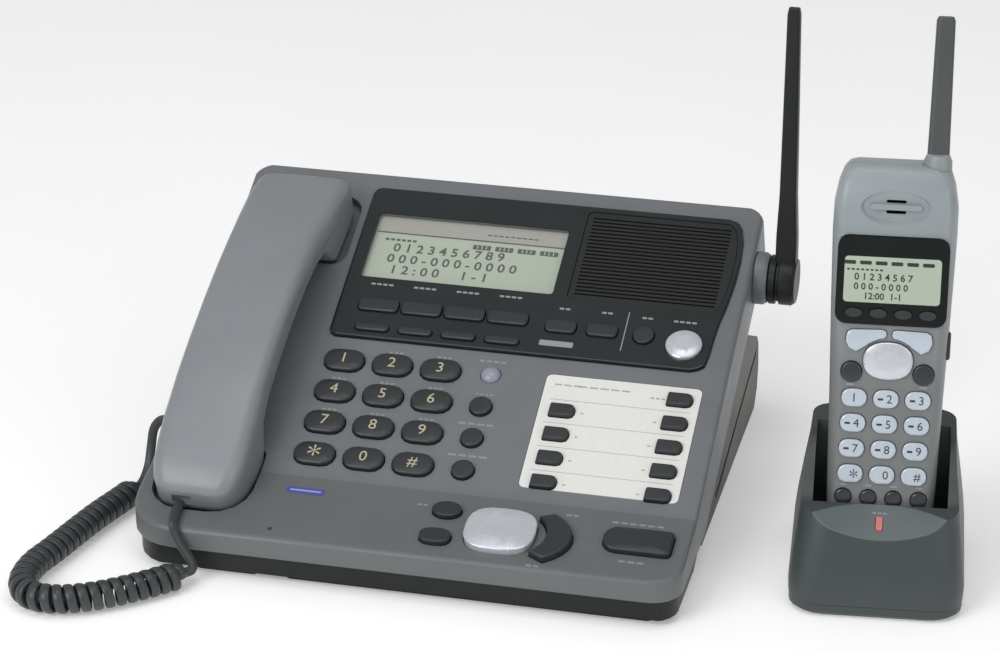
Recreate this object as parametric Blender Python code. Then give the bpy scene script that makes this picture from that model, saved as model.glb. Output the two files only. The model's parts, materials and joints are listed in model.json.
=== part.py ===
"""Four-line desk telephone base with a corded handset, and a cordless handset standing in its charger.

Lengths are in millimetres until an object is made, and the scene is in metres. +X is the object's right, +Y its
back and +Z up. Three working frames are used: the sloped console of the base, the shallower front apron below it,
and the leaning handset in the charger.
"""

import math

import bpy
from mathutils import Matrix, Vector

MM = 0.001
GAP = 0.3  # clearance between touching pieces

# ---- placing of the two units in the row frame ----
BASE_X = -61.305
BASE_Y = -122.75  # front lip of the base
CHARGER_X = 211.0  # middle of the charger, from the middle of the base
CHARGER_Y = 79.4
CHARGER_YAW = math.radians(6)

# ---- base housing ----
BASE_W = 263.0
LIP_BOTTOM = 13.0
LIP_TOP = 24.0
FOLD_Y = 44.8  # where the front apron meets the console
FOLD_Z = 34.4
BACK_Y = 224.7  # rear top edge of the console
BACK_Z = 116.3
SLAB = 29.0  # thickness of the upper housing, square to the console
WALL = 2.6
CORNER_FRONT_LEFT = 24.0
CORNER_FRONT_RIGHT = 15.0
CORNER_BACK = 9.0
EDGE_ROUND = 2.2
TRAY_DEPTH = 3.5  # lower case below the upper housing, square to the console
TRAY_WALL = 2.2
TRAY_INSET = 2.4
TRAY_FLOOR = 3.0
BOARD_LOW = -15.0
BOARD_HIGH = -13.4
BOSSES = ((-50.0, 20.0), (118.0, 20.0), (-50.0, 176.0), (112.0, 176.0))
FOOT_TOP = 2.7

TILT = math.atan2(BACK_Z - FOLD_Z, BACK_Y - FOLD_Y)
APRON_TILT = math.atan2(FOLD_Z - LIP_TOP, FOLD_Y)

# ---- display panel on the console: x across, s up the slope ----
BEZEL_LEFT = -66.5
BEZEL_BOTTOM = 87.0
BEZEL_TOP = 186.6
BEZEL_RISE = 1.8
BEZEL_SEAT = 1.0
WINDOW = (-59.5, 126.0, 37.8, 169.2)
GRILLE_LEFT = 45.0
GRILLE_BOTTOM = 124.0
GRILLE_TOP = 182.8
GRILLE_RIBS = 22

# ---- keys on the base ----
DIAL_X = (-54.2, -30.2, -6.2)
DIAL_S = (71.8, 52.35, 32.9, 13.45)
DIAL_KEY = (20.0, 12.6)
DIAL_NAMES = (("1", "2", "3"), ("4", "5", "6"), ("7", "8", "9"), ("star", "0", "hash"))
KEY_RISE = 2.6
KEY_CLEAR = 0.45
KEY_FLANGE = 1.2
SIDE_KEY_X = 18.0
SIDE_KEY_R = 5.4
LINE_KEY = (20.2, 7.6)
LINE_KEY_X = (-45.6, -23.9, -2.2, 19.5)
LINE_KEY_S = 107.6
SLIM_KEY_S = 93.2
SLIM_KEY = (17.0, 4.2)
FUNCTION_KEY = (15.2, 7.6)
FUNCTION_KEY_X = (46.2, 66.6)
FUNCTION_KEY_S = 105.6
FUNCTION_ROUND = (87.0, 105.2, 5.2)
MESSAGE_KEY = (107.4, 101.6, 8.8)
CARD = (45.2, 7.8, 121.2, 77.5)
CARD_KEY = (12.0, 7.4)
CARD_KEY_LEFT_X = 56.9
CARD_KEY_RIGHT_X = 111.2
CARD_KEY_PITCH = 14.46
CARD_KEY_LEFT_TOP = 55.2
CARD_KEY_RIGHT_TOP = 69.0
LAMP_DOME = (18.4, 72.7, 4.9)

# ---- corded handset, in the console frame ----
GRIP_X = -99.5
EAR_CUP = (-124.8, 133.0, -70.0, 179.5)
MOUTH_CUP = (-126.0, -31.5, -77.0, 14.5)
CUP_FLOOR = -5.0
BLOCK_BOTTOM = -4.0
RECEIVER_S = 152.0
MICROPHONE_S = 2.0
PLUG_X = -107.0
PLUG_H = 9.0

# ---- curly cord: points on the desk, from the handset's end to the base's end ----
COIL_D = 13.6
COIL_Z = 7.1
CORD_D = 3.6
COIL_ROUTE = (
    (-97.4, -9.8), (-113.0, -26.0), (-130.7, -40.0), (-147.0, -47.0), (-160.0, -45.5), (-167.2, -35.5),
    (-168.4, -20.0), (-164.4, -2.6), (-156.8, 30.8), (-150.4, 52.4), (-147.2, 65.0),
)
HANDSET_TAIL = (
    (-107.0, 14.6, 30.4), (-107.0, 9.5, 29.3), (-106.6, 4.2, 28.0), (-105.2, -1.4, 25.8),
    (-102.4, -4.0, 20.6),
    (-98.4, -4.8, 14.6), (-95.4, -5.6, 10.0), (-95.2, -7.0, 7.8), (-96.9, -9.3, 7.1),
)
BASE_TAIL = (
    (-147.0, 65.6, 7.1), (-145.9, 71.0, 8.4), (-145.2, 77.5, 13.6), (-145.0, 82.0, 22.0),
    (-144.0, 84.0, 30.0),
    (-140.4, 84.2, 35.0), (-135.6, 84.0, 36.0),
)
JACK_Y = 84.0
JACK_Z = 36.0

# ---- base antenna ----
PIVOT_Y = 200.0
PIVOT_Z = 89.1
COLLAR_R = 13.0
HUB_R = 12.2
ANTENNA_LENGTH = 141.0

# ---- cordless handset, in its own leaning frame: u across, v along, w out of the face ----
LEAN = math.radians(12)
FACE_Y = -18.6  # the face at the height of the charger's front lip, from the charger's middle
LIP_Z = 44.0
SCOOP_TILT = math.radians(26)
SCOOP_R = 88.0
BODY_BOTTOM = -24.0
BODY_DEPTH = 30.0
SPLIT = -13.0  # joint between the front and back shells
NAV = (0.0, 67.8)
SIDE_KEY_V = 74.0
SIDE_KEY_DEPTH = 9.4
COVER = (-16.5, 50.0, 16.5, 114.0)
STUB = (17.4, -13.4)  # the cordless antenna, in u and w
STUB_TOP = 222.6

SHADES = {
    "console_plastic": (0.19, 0.2, 0.22),
    "handset_plastic": (0.3, 0.31, 0.34),
    "black_plastic": (0.01, 0.012, 0.012),
    "stand_plastic": (0.09, 0.087, 0.075),
    "bezel_plastic": (0.02, 0.03, 0.028),
    "clear_plastic": (0.5, 0.55, 0.45),
    "grille_plastic": (0.011, 0.012, 0.013),
    "key_plastic": (0.05, 0.055, 0.06),
    "silver_plastic": (0.55, 0.55, 0.58),
    "card_paper": (0.8, 0.8, 0.78),
    "circuit_board": (0.03, 0.2, 0.08),
    "metal": (0.6, 0.58, 0.5),
    "rubber_feet": (0.015, 0.015, 0.015),
    "cord_plastic": (0.045, 0.055, 0.06),
    "charger_plastic": (0.07, 0.085, 0.085),
    "cordless_plastic": (0.22, 0.225, 0.23),
    "cordless_key_plastic": (0.55, 0.6, 0.68),
    "lamp_plastic": (0.7, 0.2, 0.2),
    "lcd_glass": (0.45, 0.52, 0.42),
}


def clear_scene():
    for obj in list(bpy.data.objects):
        bpy.data.objects.remove(obj, do_unlink=True)


def material(name):
    found = bpy.data.materials.get(name)
    if found:
        return found
    made = bpy.data.materials.new(name)
    made.use_nodes = True
    shader = made.node_tree.nodes["Principled BSDF"]
    shader.inputs["Base Color"].default_value = (*SHADES[name], 1)
    shader.inputs["Roughness"].default_value = 0.5
    return made


# ---------------------------------------------------------------- frames
def frame(origin, across, along, out):
    """A matrix whose columns are the three directions of a working frame, at origin."""
    made = Matrix.Identity(4)
    for column, axis in enumerate((across, along, out)):
        for row in range(3):
            made[row][column] = axis[row]
    for row in range(3):
        made[row][3] = origin[row]
    return made


BASE = Matrix.Translation((BASE_X, BASE_Y, 0))
CONSOLE = BASE @ frame(
    (0, FOLD_Y, FOLD_Z),
    (1, 0, 0),
    (0, math.cos(TILT), math.sin(TILT)),
    (0, -math.sin(TILT), math.cos(TILT)),
)
APRON = BASE @ frame(
    (0, 0, LIP_TOP),
    (1, 0, 0),
    (0, math.cos(APRON_TILT), math.sin(APRON_TILT)),
    (0, -math.sin(APRON_TILT), math.cos(APRON_TILT)),
)
SECTION = BASE @ frame((0, 0, 0), (0, 1, 0), (0, 0, 1), (1, 0, 0))  # outlines in y, z, run along x
CHARGER = BASE @ Matrix.Translation((CHARGER_X, CHARGER_Y, 0)) @ Matrix.Rotation(CHARGER_YAW, 4, "Z")
CHARGER_SECTION = CHARGER @ frame((0, 0, 0), (0, 1, 0), (0, 0, 1), (1, 0, 0))
FACE = CHARGER @ frame(
    (0, FACE_Y, LIP_Z),
    (1, 0, 0),
    (0, math.sin(LEAN), math.cos(LEAN)),
    (0, -math.cos(LEAN), math.sin(LEAN)),
)

# the scooped facet below the charger's lip: x across, height above the facet, and distance up the slope
SCOOP = CHARGER @ frame(
    (0, -22.0, 45.6),
    (1, 0, 0),
    (0, -math.sin(SCOOP_TILT), math.cos(SCOOP_TILT)),
    (0, math.cos(SCOOP_TILT), math.sin(SCOOP_TILT)),
)
LAMP = SCOOP @ frame((0, 0, -10.4), (1, 0, 0), (0, 0, 1), (0, 1, 0))


# ---------------------------------------------------------------- outlines
def rounded(x0, y0, x1, y1, radii, steps=4):
    """A rectangle with its four corners rounded, anticlockwise from the lower left."""
    if not hasattr(radii, "__len__"):
        radii = (radii,) * 4
    centres = (
        (x0 + radii[0], y0 + radii[0], 180),
        (x1 - radii[1], y0 + radii[1], 270),
        (x1 - radii[2], y1 - radii[2], 0),
        (x0 + radii[3], y1 - radii[3], 90),
    )
    points = []
    for (cx, cy, start), radius in zip(centres, radii):
        for i in range(steps + 1):
            turn = math.radians(start + 90 * i / steps)
            points.append((cx + radius * math.cos(turn), cy + radius * math.sin(turn)))
    return points


def box_outline(cx, cy, w, h, radius, steps=4):
    return rounded(cx - w / 2, cy - h / 2, cx + w / 2, cy + h / 2, radius, steps)


def circle(cx, cy, r, n=20):
    return [(cx + r * math.cos(2 * math.pi * i / n),
             cy + r * math.sin(2 * math.pi * i / n)) for i in range(n)]


def oval(cx, cy, rx, ry, n=20, power=2.0):
    points = []
    for i in range(n):
        c = math.cos(2 * math.pi * i / n)
        s = math.sin(2 * math.pi * i / n)
        x = math.copysign(abs(c) ** (2 / power), c)
        y = math.copysign(abs(s) ** (2 / power), s)
        points.append((cx + rx * x, cy + ry * y))
    return points


def grown(outline, by):
    """The outline moved out by a distance, or in where it is negative, along each corner's bisector."""
    n = len(outline)
    result = []
    for i in range(n):
        x0, y0 = outline[i - 1]
        x1, y1 = outline[i]
        x2, y2 = outline[(i + 1) % n]
        a = Vector((x1 - x0, y1 - y0))
        b = Vector((x2 - x1, y2 - y1))
        if a.length < 1e-6 or b.length < 1e-6:
            result.append((x1, y1))
            continue
        na = Vector((a.y, -a.x)).normalized()
        nb = Vector((b.y, -b.x)).normalized()
        mid = (na + nb).normalized()
        reach = by / max(0.35, mid.dot(na))
        result.append((x1 + mid.x * reach, y1 + mid.y * reach))
    return result


# ---------------------------------------------------------------- solids
def loft(rings, place):
    """(points, faces) of a closed solid through rings of 3-D points, all of one length, with flat ends."""
    n = len(rings[0])
    points = []
    for ring in rings:
        points.extend(place @ Vector(p) * MM for p in ring)
    faces = [tuple(range(n))[::-1]]
    for k in range(len(rings) - 1):
        for i in range(n):
            j = (i + 1) % n
            side = (k * n + i, k * n + j, (k + 1) * n + j, (k + 1) * n + i)
            if len(rings) == 2:
                faces.append(side)
            else:
                faces.extend((side[:3], (side[0], side[2], side[3])))
    last = (len(rings) - 1) * n
    faces.append(tuple(range(last, last + n)))
    return facing_out(points, faces)


def facing_out(points, faces):
    """The same solid with its faces turned round if they point inwards."""
    middle = sum(points, Vector()) / len(points)
    volume = 0.0
    for face in faces:
        a = points[face[0]] - middle
        for i in range(1, len(face) - 1):
            volume += a.dot((points[face[i]] - middle).cross(points[face[i + 1]] - middle))
    if volume < 0:
        faces = [face[::-1] for face in faces]
    return points, faces


def prism(outline, low, high, place):
    return loft([[(x, y, low) for x, y in outline], [(x, y, high) for x, y in outline]], place)


def stacked(levels, place):
    """A solid through (outline, height) levels, whose outlines all have one length."""
    return loft([[(x, y, h) for x, y in outline] for outline, h in levels], place)


def joined(*solids):
    points, faces = [], []
    for more, sides in solids:
        base = len(points)
        points.extend(more)
        faces.extend(tuple(base + i for i in side) for side in sides)
    return points, faces


def thing(name, solid, slot, smooth=None):
    """A new object from a solid. With an angle, edges flatter than it are shaded smooth."""
    mesh = bpy.data.meshes.new(name)
    mesh.from_pydata([tuple(p) for p in solid[0]], [], solid[1])
    mesh.update()
    obj = bpy.data.objects.new(name, mesh)
    bpy.context.scene.collection.objects.link(obj)
    if slot:
        mesh.materials.append(material(slot))
    if smooth:
        mesh.shade_smooth()
        mesh.set_sharp_from_angle(angle=math.radians(smooth))
    return obj


def helper(name, solid):
    obj = thing(name, solid, None)
    obj.hide_render = True
    obj.display_type = "WIRE"
    return obj


def boolean(obj, operation, other):
    added = obj.modifiers.new(operation.lower(), "BOOLEAN")
    added.operation = operation
    added.solver = "EXACT"
    added.object = other
    return obj


def cut(obj, *solids):
    return boolean(obj, "DIFFERENCE", helper("cut_" + obj.name, joined(*solids)))


def fuse(obj, *solids):
    return boolean(obj, "UNION", helper("add_" + obj.name, joined(*solids)))


def soften(obj, width, segments=2, angle=40):
    added = obj.modifiers.new("soft_edges", "BEVEL")
    added.width = width * MM
    added.segments = segments
    added.limit_method = "ANGLE"
    added.angle_limit = math.radians(angle)
    added.miter_outer = "MITER_SHARP"
    added.harden_normals = False
    return obj


def key_solid(outline, rise, place, crown=0.5, low=-4.2, flange=KEY_FLANGE):
    """A key cap through a hole: its flange below the panel, its shank, and a top with rounded edges."""
    levels = [
        (grown(outline, flange), low),
        (grown(outline, flange), low + 1.1),
        (outline, low + 1.1 + 0.001),
        (outline, rise - 0.7),
        (grown(outline, -0.7), rise),
    ]
    if crown:
        cx = sum(x for x, _ in outline) / len(outline)
        cy = sum(y for _, y in outline) / len(outline)
        inner = [(cx + (x - cx) * 0.55, cy + (y - cy) * 0.55) for x, y in outline]
        levels.append((inner, rise + crown))
    return stacked(levels, place)


def key(name, outline, rise, place, slot, crown=0.35, low=-4.2):
    return thing(name, key_solid(outline, rise, place, crown, low), slot, 40)


def key_mat(name, outlines, rise, place, slot, web, web_low, web_high):
    """Several caps moulded on one web below the panel, which moves as one piece."""
    obj = thing(name, prism(web, web_low, web_high, place), slot, 40)
    caps = []
    for outline in outlines:
        levels = [(outline, web_high - 0.6), (outline, rise - 0.45), (grown(outline, -0.6), rise)]
        caps.append(stacked(levels, place))
    return fuse(obj, *caps)


# ---------------------------------------------------------------- base housing
def housing_profile(inset):
    """The side outline of the upper housing in y and z, moved in by a wall, and open below when inset."""
    down = Vector((math.sin(TILT), -math.cos(TILT)))
    top = Vector((BACK_Y, BACK_Z))
    rear = top + down * SLAB
    slope = (rear.y - LIP_BOTTOM) / math.tan(TILT)
    turn = rear.x - slope
    if not inset:
        return [(0, LIP_BOTTOM), (turn, LIP_BOTTOM), (rear.x, rear.y), (top.x, top.y), (FOLD_Y, FOLD_Z),
                (0, LIP_TOP)]
    below = 6.0
    lifted = top + down * inset
    back = lifted - Vector((math.cos(TILT), math.sin(TILT))) * inset
    low = back + down * (SLAB + below - inset)
    fold_y = FOLD_Y + inset * math.sin((TILT + APRON_TILT) / 2)
    fold_z = FOLD_Z - inset * math.cos((TILT + APRON_TILT) / 2)
    front_z = LIP_TOP + inset * math.tan(APRON_TILT) - inset / math.cos(APRON_TILT)
    return [
        (inset, LIP_BOTTOM - below),
        (turn + 2, LIP_BOTTOM - below),
        (low.x, low.y),
        (back.x, back.y),
        (fold_y, fold_z),
        (inset, front_z),
    ]


def housing_plan(inset):
    radii = (CORNER_FRONT_LEFT, CORNER_FRONT_RIGHT, CORNER_BACK, CORNER_BACK)
    half = BASE_W / 2 - inset
    radii = tuple(max(2.0, r - inset) for r in radii)
    back = BACK_Y + SLAB * math.sin(TILT) + 3
    return rounded(-half, inset, half, back - inset, radii, 6)


def console_plan(inset):
    """Outline of the console seen square on, which rounds its two back corners."""
    half = BASE_W / 2 + 0.5 - inset
    back = math.hypot(BACK_Z - FOLD_Z, BACK_Y - FOLD_Y) + 0.5 - inset
    return rounded(-half, -120, half, back, (2, 2, CORNER_BACK + 2 - inset, CORNER_BACK + 2 - inset), 6)


def panel_edge(inset):
    """Outline of the display panel: straight left side, and a right side that swells beside the grille."""
    right = [
        (112.5, BEZEL_BOTTOM), (116.6, BEZEL_BOTTOM + 1.6), (119.2, 90.8), (120.3, 98.0), (120.7, 107.0),
        (121.6, 118.0), (123.6, 131.0), (125.0, 146.0), (125.3, 160.0), (124.4, 173.0), (122.4, 181.0),
        (120.0, 185.0), (115.5, BEZEL_TOP),
    ]
    left = [
        (-62.5, BEZEL_TOP), (-65.4, 185.4), (-66.5, 182.6), (BEZEL_LEFT, 91.0), (-65.4, 88.2),
        (-62.5, BEZEL_BOTTOM),
    ]
    return grown(right + left, -inset)


def grille_edge(inset):
    right = [
        (118.6, GRILLE_BOTTOM), (121.4, 133.0), (122.6, 146.0), (122.9, 160.0), (122.0, 171.0),
        (119.8, 179.0),
        (116.5, GRILLE_TOP),
    ]
    left = [(GRILLE_LEFT + 2, GRILLE_TOP), (GRILLE_LEFT, GRILLE_TOP - 2), (GRILLE_LEFT, GRILLE_BOTTOM + 2),
            (GRILLE_LEFT + 2, GRILLE_BOTTOM)]
    return grown(right + left, -inset)


def dial_outlines():
    found = {}
    for row, s in enumerate(DIAL_S):
        for column, x in enumerate(DIAL_X):
            found["dial_key_" + DIAL_NAMES[row][column]] = box_outline(x, s, *DIAL_KEY,
                                                                       DIAL_KEY[1] / 2 - 0.3, 3)
    return found


def card_key_outlines():
    """The directory's one-touch keys: four on the left side of the card and five on the right."""
    found = []
    w, h = CARD_KEY
    for i in range(4):
        s = CARD_KEY_LEFT_TOP - i * CARD_KEY_PITCH
        x = CARD_KEY_LEFT_X
        found.append(rounded(x - w / 2, s - h / 2, x + w / 2, s + h / 2, (0.8, 2.6, 2.6, 0.8), 2))
    for i in range(5):
        s = CARD_KEY_RIGHT_TOP - i * CARD_KEY_PITCH
        x = CARD_KEY_RIGHT_X
        found.append(rounded(x - w / 2, s - h / 2, x + w / 2, s + h / 2, (0.8, 2.6, 2.6, 0.8), 2))
    return found


def side_key_outlines():
    return [circle(SIDE_KEY_X, s, SIDE_KEY_R, 14) for s in DIAL_S[1:]]


def panel_key_outlines():
    found = [box_outline(x, LINE_KEY_S, *LINE_KEY, 2.2, 2) for x in LINE_KEY_X]
    found += [box_outline(x, SLIM_KEY_S, *SLIM_KEY, 1.9, 2) for x in LINE_KEY_X]
    found += [box_outline(x, FUNCTION_KEY_S, *FUNCTION_KEY, 2.4, 2) for x in FUNCTION_KEY_X]
    found.append(circle(*FUNCTION_ROUND, 14))
    return found


def apron_outlines():
    """Keys on the front apron, in x and distance back from the lip."""
    big = oval(44.6, 22.0, 16.6, 14.2, 24, 2.9)
    return {
        "front_small_keys": [oval(16.8, 32.6, 7.0, 5.2, 16), oval(15.6, 13.9, 7.4, 4.9, 16, 2.6)],
        "navigator_key": [big],
        "answer_key": [rounded(92.0, 17.8, 124.0, 33.4, (7.0, 2.2, 2.2, 7.0), 4)],
        "volume_rocker": [rocker_outline()],
    }


def rocker_outline():
    """A crescent hugging the navigator key's right side."""
    outer, inner = [], []
    for i in range(9):
        turn = math.radians(-52 + 104 * i / 8)
        outer.append((50.4 + 28.0 * math.cos(turn), 21.0 + 19.6 * math.sin(turn)))
        inner.append((46.8 + 19.4 * math.cos(turn * 0.86), 21.4 + 17.2 * math.sin(turn * 0.86)))
    return outer + inner[::-1]


def make_upper_housing():
    shell = thing("base_upper_housing", prism(housing_profile(0), -BASE_W / 2 - 1, BASE_W / 2 + 1, SECTION),
                  "console_plastic", 30)
    boolean(shell, "INTERSECT", helper("plan_outside", prism(housing_plan(0), -20, 200, BASE)))
    boolean(shell, "INTERSECT", helper("back_corners", prism(console_plan(0), -90, 60, CONSOLE)))
    soften(shell, EDGE_ROUND, 3)
    hollow = helper("hollow", prism(housing_profile(WALL), -BASE_W / 2, BASE_W / 2, SECTION))
    boolean(hollow, "INTERSECT", helper("plan_inside", prism(housing_plan(WALL), -40, 240, BASE)))
    boolean(hollow, "INTERSECT", helper("hollow_corners", prism(console_plan(WALL), -90, 60, CONSOLE)))
    ear = rounded(*EAR_CUP, (8, 8, 10, 10), 4)
    mouth = rounded(*MOUTH_CUP, (18, 18, 6, 6), 4)
    walls = joined(*[prism(grown(cup, WALL), CUP_FLOOR - WALL, 30, CONSOLE) for cup in (ear, mouth)])
    boolean(hollow, "DIFFERENCE", helper("cup_walls", walls))
    boolean(shell, "DIFFERENCE", hollow)
    cups = [prism(ear, CUP_FLOOR, 40, CONSOLE), prism(mouth, CUP_FLOOR, 40, CONSOLE)]
    cut(shell, *cups)
    openings = [prism(panel_edge(-GAP), -BEZEL_SEAT, 20, CONSOLE)]
    openings.append(prism(rounded(*CARD, 3, 4), -0.9, 20, CONSOLE))
    cut(shell, *openings)
    cut(shell, prism(panel_edge(3.2), -20, 21, CONSOLE))
    cut(shell, *[prism(grown(o, KEY_CLEAR), -20, 21, CONSOLE) for o in dial_outlines().values()])
    cut(shell,
        *[prism(grown(o, KEY_CLEAR), -20, 21, CONSOLE) for o in side_key_outlines() + card_key_outlines()])
    cut(shell, prism(circle(*LAMP_DOME[:2], LAMP_DOME[2] + GAP), -20, 21, CONSOLE))
    for outlines in apron_outlines().values():
        cut(shell, *[prism(grown(o, KEY_CLEAR), -13, 21, APRON) for o in outlines])
    cut(shell, prism(rounded(-109.0, 150.0, -95.0, 166.0, 2, 3), -20, 21, CONSOLE))
    jack = prism(rounded(JACK_Y - 6.3, JACK_Z - 5.6, JACK_Y + 6.3, JACK_Z + 5.6, 0.7, 2),
                 -BASE_W / 2 - 5, -BASE_W / 2 + 12, SECTION)
    cut(shell, jack)
    return shell


def tray_profile(grow):
    """Side outline of the lower case, smaller all round by -grow."""
    down = Vector((math.sin(TILT), -math.cos(TILT)))
    along = Vector((math.cos(TILT), math.sin(TILT)))
    rear = Vector((BACK_Y, BACK_Z)) + down * (SLAB + GAP) - along * TRAY_INSET
    turn = rear.x - (rear.y - LIP_BOTTOM + GAP) / math.tan(TILT)
    bottom = rear + down * (TRAY_DEPTH - GAP)
    toe = bottom.x - (bottom.y - TRAY_FLOOR) / math.tan(TILT)
    outline = [
        (TRAY_INSET + 1.6, TRAY_FLOOR),
        (toe, TRAY_FLOOR),
        (bottom.x, bottom.y),
        (rear.x, rear.y),
        (turn, LIP_BOTTOM - GAP),
        (TRAY_INSET + 1.6, LIP_BOTTOM - GAP),
    ]
    if grow:
        up = -down * 8
        outline = [
            (TRAY_INSET + 1.6 + grow, TRAY_FLOOR + grow),
            (toe - 0.5, TRAY_FLOOR + grow),
            (bottom.x - grow - 1.0, bottom.y + grow - 0.35),
            (rear.x - grow - 1 + up.x, rear.y + up.y),
            (turn, LIP_BOTTOM + 8),
            (TRAY_INSET + 1.6 + grow, LIP_BOTTOM + 8),
        ]
    return outline


def make_base_pieces():
    make_upper_housing()
    half = BASE_W / 2 - TRAY_INSET
    tray = thing("base_lower_case", prism(tray_profile(0), -half, half, SECTION), "black_plastic", 30)
    plan = rounded(-half, TRAY_INSET, half, 260, (CORNER_FRONT_LEFT - 2, CORNER_FRONT_RIGHT - 2, 6, 6), 5)
    boolean(tray, "INTERSECT", helper("tray_plan", prism(plan, -10, 200, BASE)))
    inner = helper("tray_hollow",
                   prism(tray_profile(TRAY_WALL), -half + TRAY_WALL, half - TRAY_WALL, SECTION))
    inner_plan = rounded(-half + TRAY_WALL, TRAY_INSET, half - TRAY_WALL, 260,
                         (CORNER_FRONT_LEFT - 4, CORNER_FRONT_RIGHT - 4, 5, 5), 5)
    boolean(inner, "INTERSECT", helper("tray_hollow_plan", prism(inner_plan, -10, 200, BASE)))
    boolean(tray, "DIFFERENCE", inner)
    fuse(tray,
         *[prism(circle(x, s, 3.4, 12), -(SLAB + TRAY_DEPTH - 1), BOARD_LOW - GAP, CONSOLE) for x,
           s in BOSSES])

    make_desk_stand()
    for name, x0, x1 in (("front_foot_left", -98.6, -68.7), ("front_foot_right", -55.0, 118.0)):
        thing(name, prism(rounded(x0, 8.0, x1, 18.0, 2.5, 3), 0, FOOT_TOP, BASE), "rubber_feet", 30)

    board = rounded(-62.0, 4.0, 124.0, 184.0, 2, 2)
    thing("base_circuit_board", prism(board, BOARD_LOW, BOARD_HIGH, CONSOLE), "circuit_board", 30)


def make_desk_stand():
    """The wedge under the back of the base, open below, with a slanting groove along each side."""
    down = Vector((math.sin(TILT), -math.cos(TILT)))
    rear = Vector((BACK_Y, BACK_Z)) + down * (SLAB + TRAY_DEPTH + GAP)

    def under(y):
        return rear.y - (rear.x - y) * math.tan(TILT)

    floor_z = 0.0
    front_y = 84.0
    crest_y = 188.0
    outline = [
        (front_y, floor_z), (236.0, floor_z), (243.5, 8.0), (245.5, 20.0), (243.5, 33.0), (238.0, 39.5),
        (crest_y, under(crest_y) - GAP), (front_y, under(front_y) - GAP),
    ]
    half = 127.6
    stand = thing("desk_stand", prism(outline, -half, half, SECTION), "stand_plastic", 30)
    inner = [
        (front_y + 3, floor_z - 5), (233.0, floor_z - 5), (240.0, 9.0), (242.0, 20.0), (240.6, 31.5),
        (236.0, 36.0),
        (crest_y, under(crest_y) - GAP - 3.4), (front_y + 3, under(front_y + 3) - GAP - 3.4),
    ]
    cut(stand, prism(inner, -half + 3, half - 3, SECTION))
    groove = [(236.0, 30.2), (238.0, 33.4), (120.0, 8.6), (121.0, 5.4)]
    cut(stand, prism(groove, -half - 2, -half + 1.2, SECTION), prism(groove, half - 1.2, half + 2, SECTION))


def make_panel():
    bezel = thing("display_bezel", prism(panel_edge(GAP), -BEZEL_SEAT + GAP, BEZEL_RISE, CONSOLE),
                  "bezel_plastic", 30)
    soften(bezel, 0.7, 2)
    holes = [prism(rounded(*WINDOW, 1.5, 2), -10, 20, CONSOLE), prism(grille_edge(0), -10, 20, CONSOLE)]
    holes += [prism(grown(o, KEY_CLEAR), -10, 20, CONSOLE) for o in panel_key_outlines()]
    holes.append(prism(circle(*MESSAGE_KEY[:2], MESSAGE_KEY[2] + KEY_CLEAR), -10, 20, CONSOLE))
    cut(bezel, *holes)

    x0, s0, x1, s1 = WINDOW
    window = rounded(x0 + GAP, s0 + GAP, x1 - GAP, s1 - GAP, 1.2, 2)
    thing("display_window", prism(window, -0.1, 1.3, CONSOLE), "clear_plastic", 30)
    module = rounded(x0 - 3, s0 - 2, x1 + 3, s1 + 3, 1, 2)
    thing("display_module", prism(module, -9.0, -1.4, CONSOLE), "lcd_glass", 30)

    plate = grille_edge(GAP)
    grille = thing("speaker_grille", prism(plate, -0.6, 1.5, CONSOLE), "grille_plastic", 30)
    slots = []
    low = GRILLE_BOTTOM + 3.0
    pitch = (GRILLE_TOP - 3.0 - low) / GRILLE_RIBS
    for i in range(GRILLE_RIBS):
        s = low + pitch * (i + 0.5)
        slots.append(prism(rounded(GRILLE_LEFT + 3, s - 0.45, 118.0, s + 0.45, 0.4, 1), -4, 6, CONSOLE))
    cut(grille, *slots)
    driver = stacked(
        [
            (circle(83.0, 153.5, 12, 24), -12.6),
            (circle(83.0, 153.5, 12, 24), -7.0),
            (circle(83.0, 153.5, 27, 24), -3.4),
            (circle(83.0, 153.5, 27, 24), -1.4),
        ],
        CONSOLE,
    )
    thing("speaker_driver", driver, "metal", 30)

    sheet = grown(rounded(*CARD, 3, 4), -GAP)
    card = thing("directory_card", prism(sheet, -0.6, 0.0, CONSOLE), "card_paper")
    cut(card, *[prism(grown(o, KEY_CLEAR), -5, 5, CONSOLE) for o in card_key_outlines()])


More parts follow.
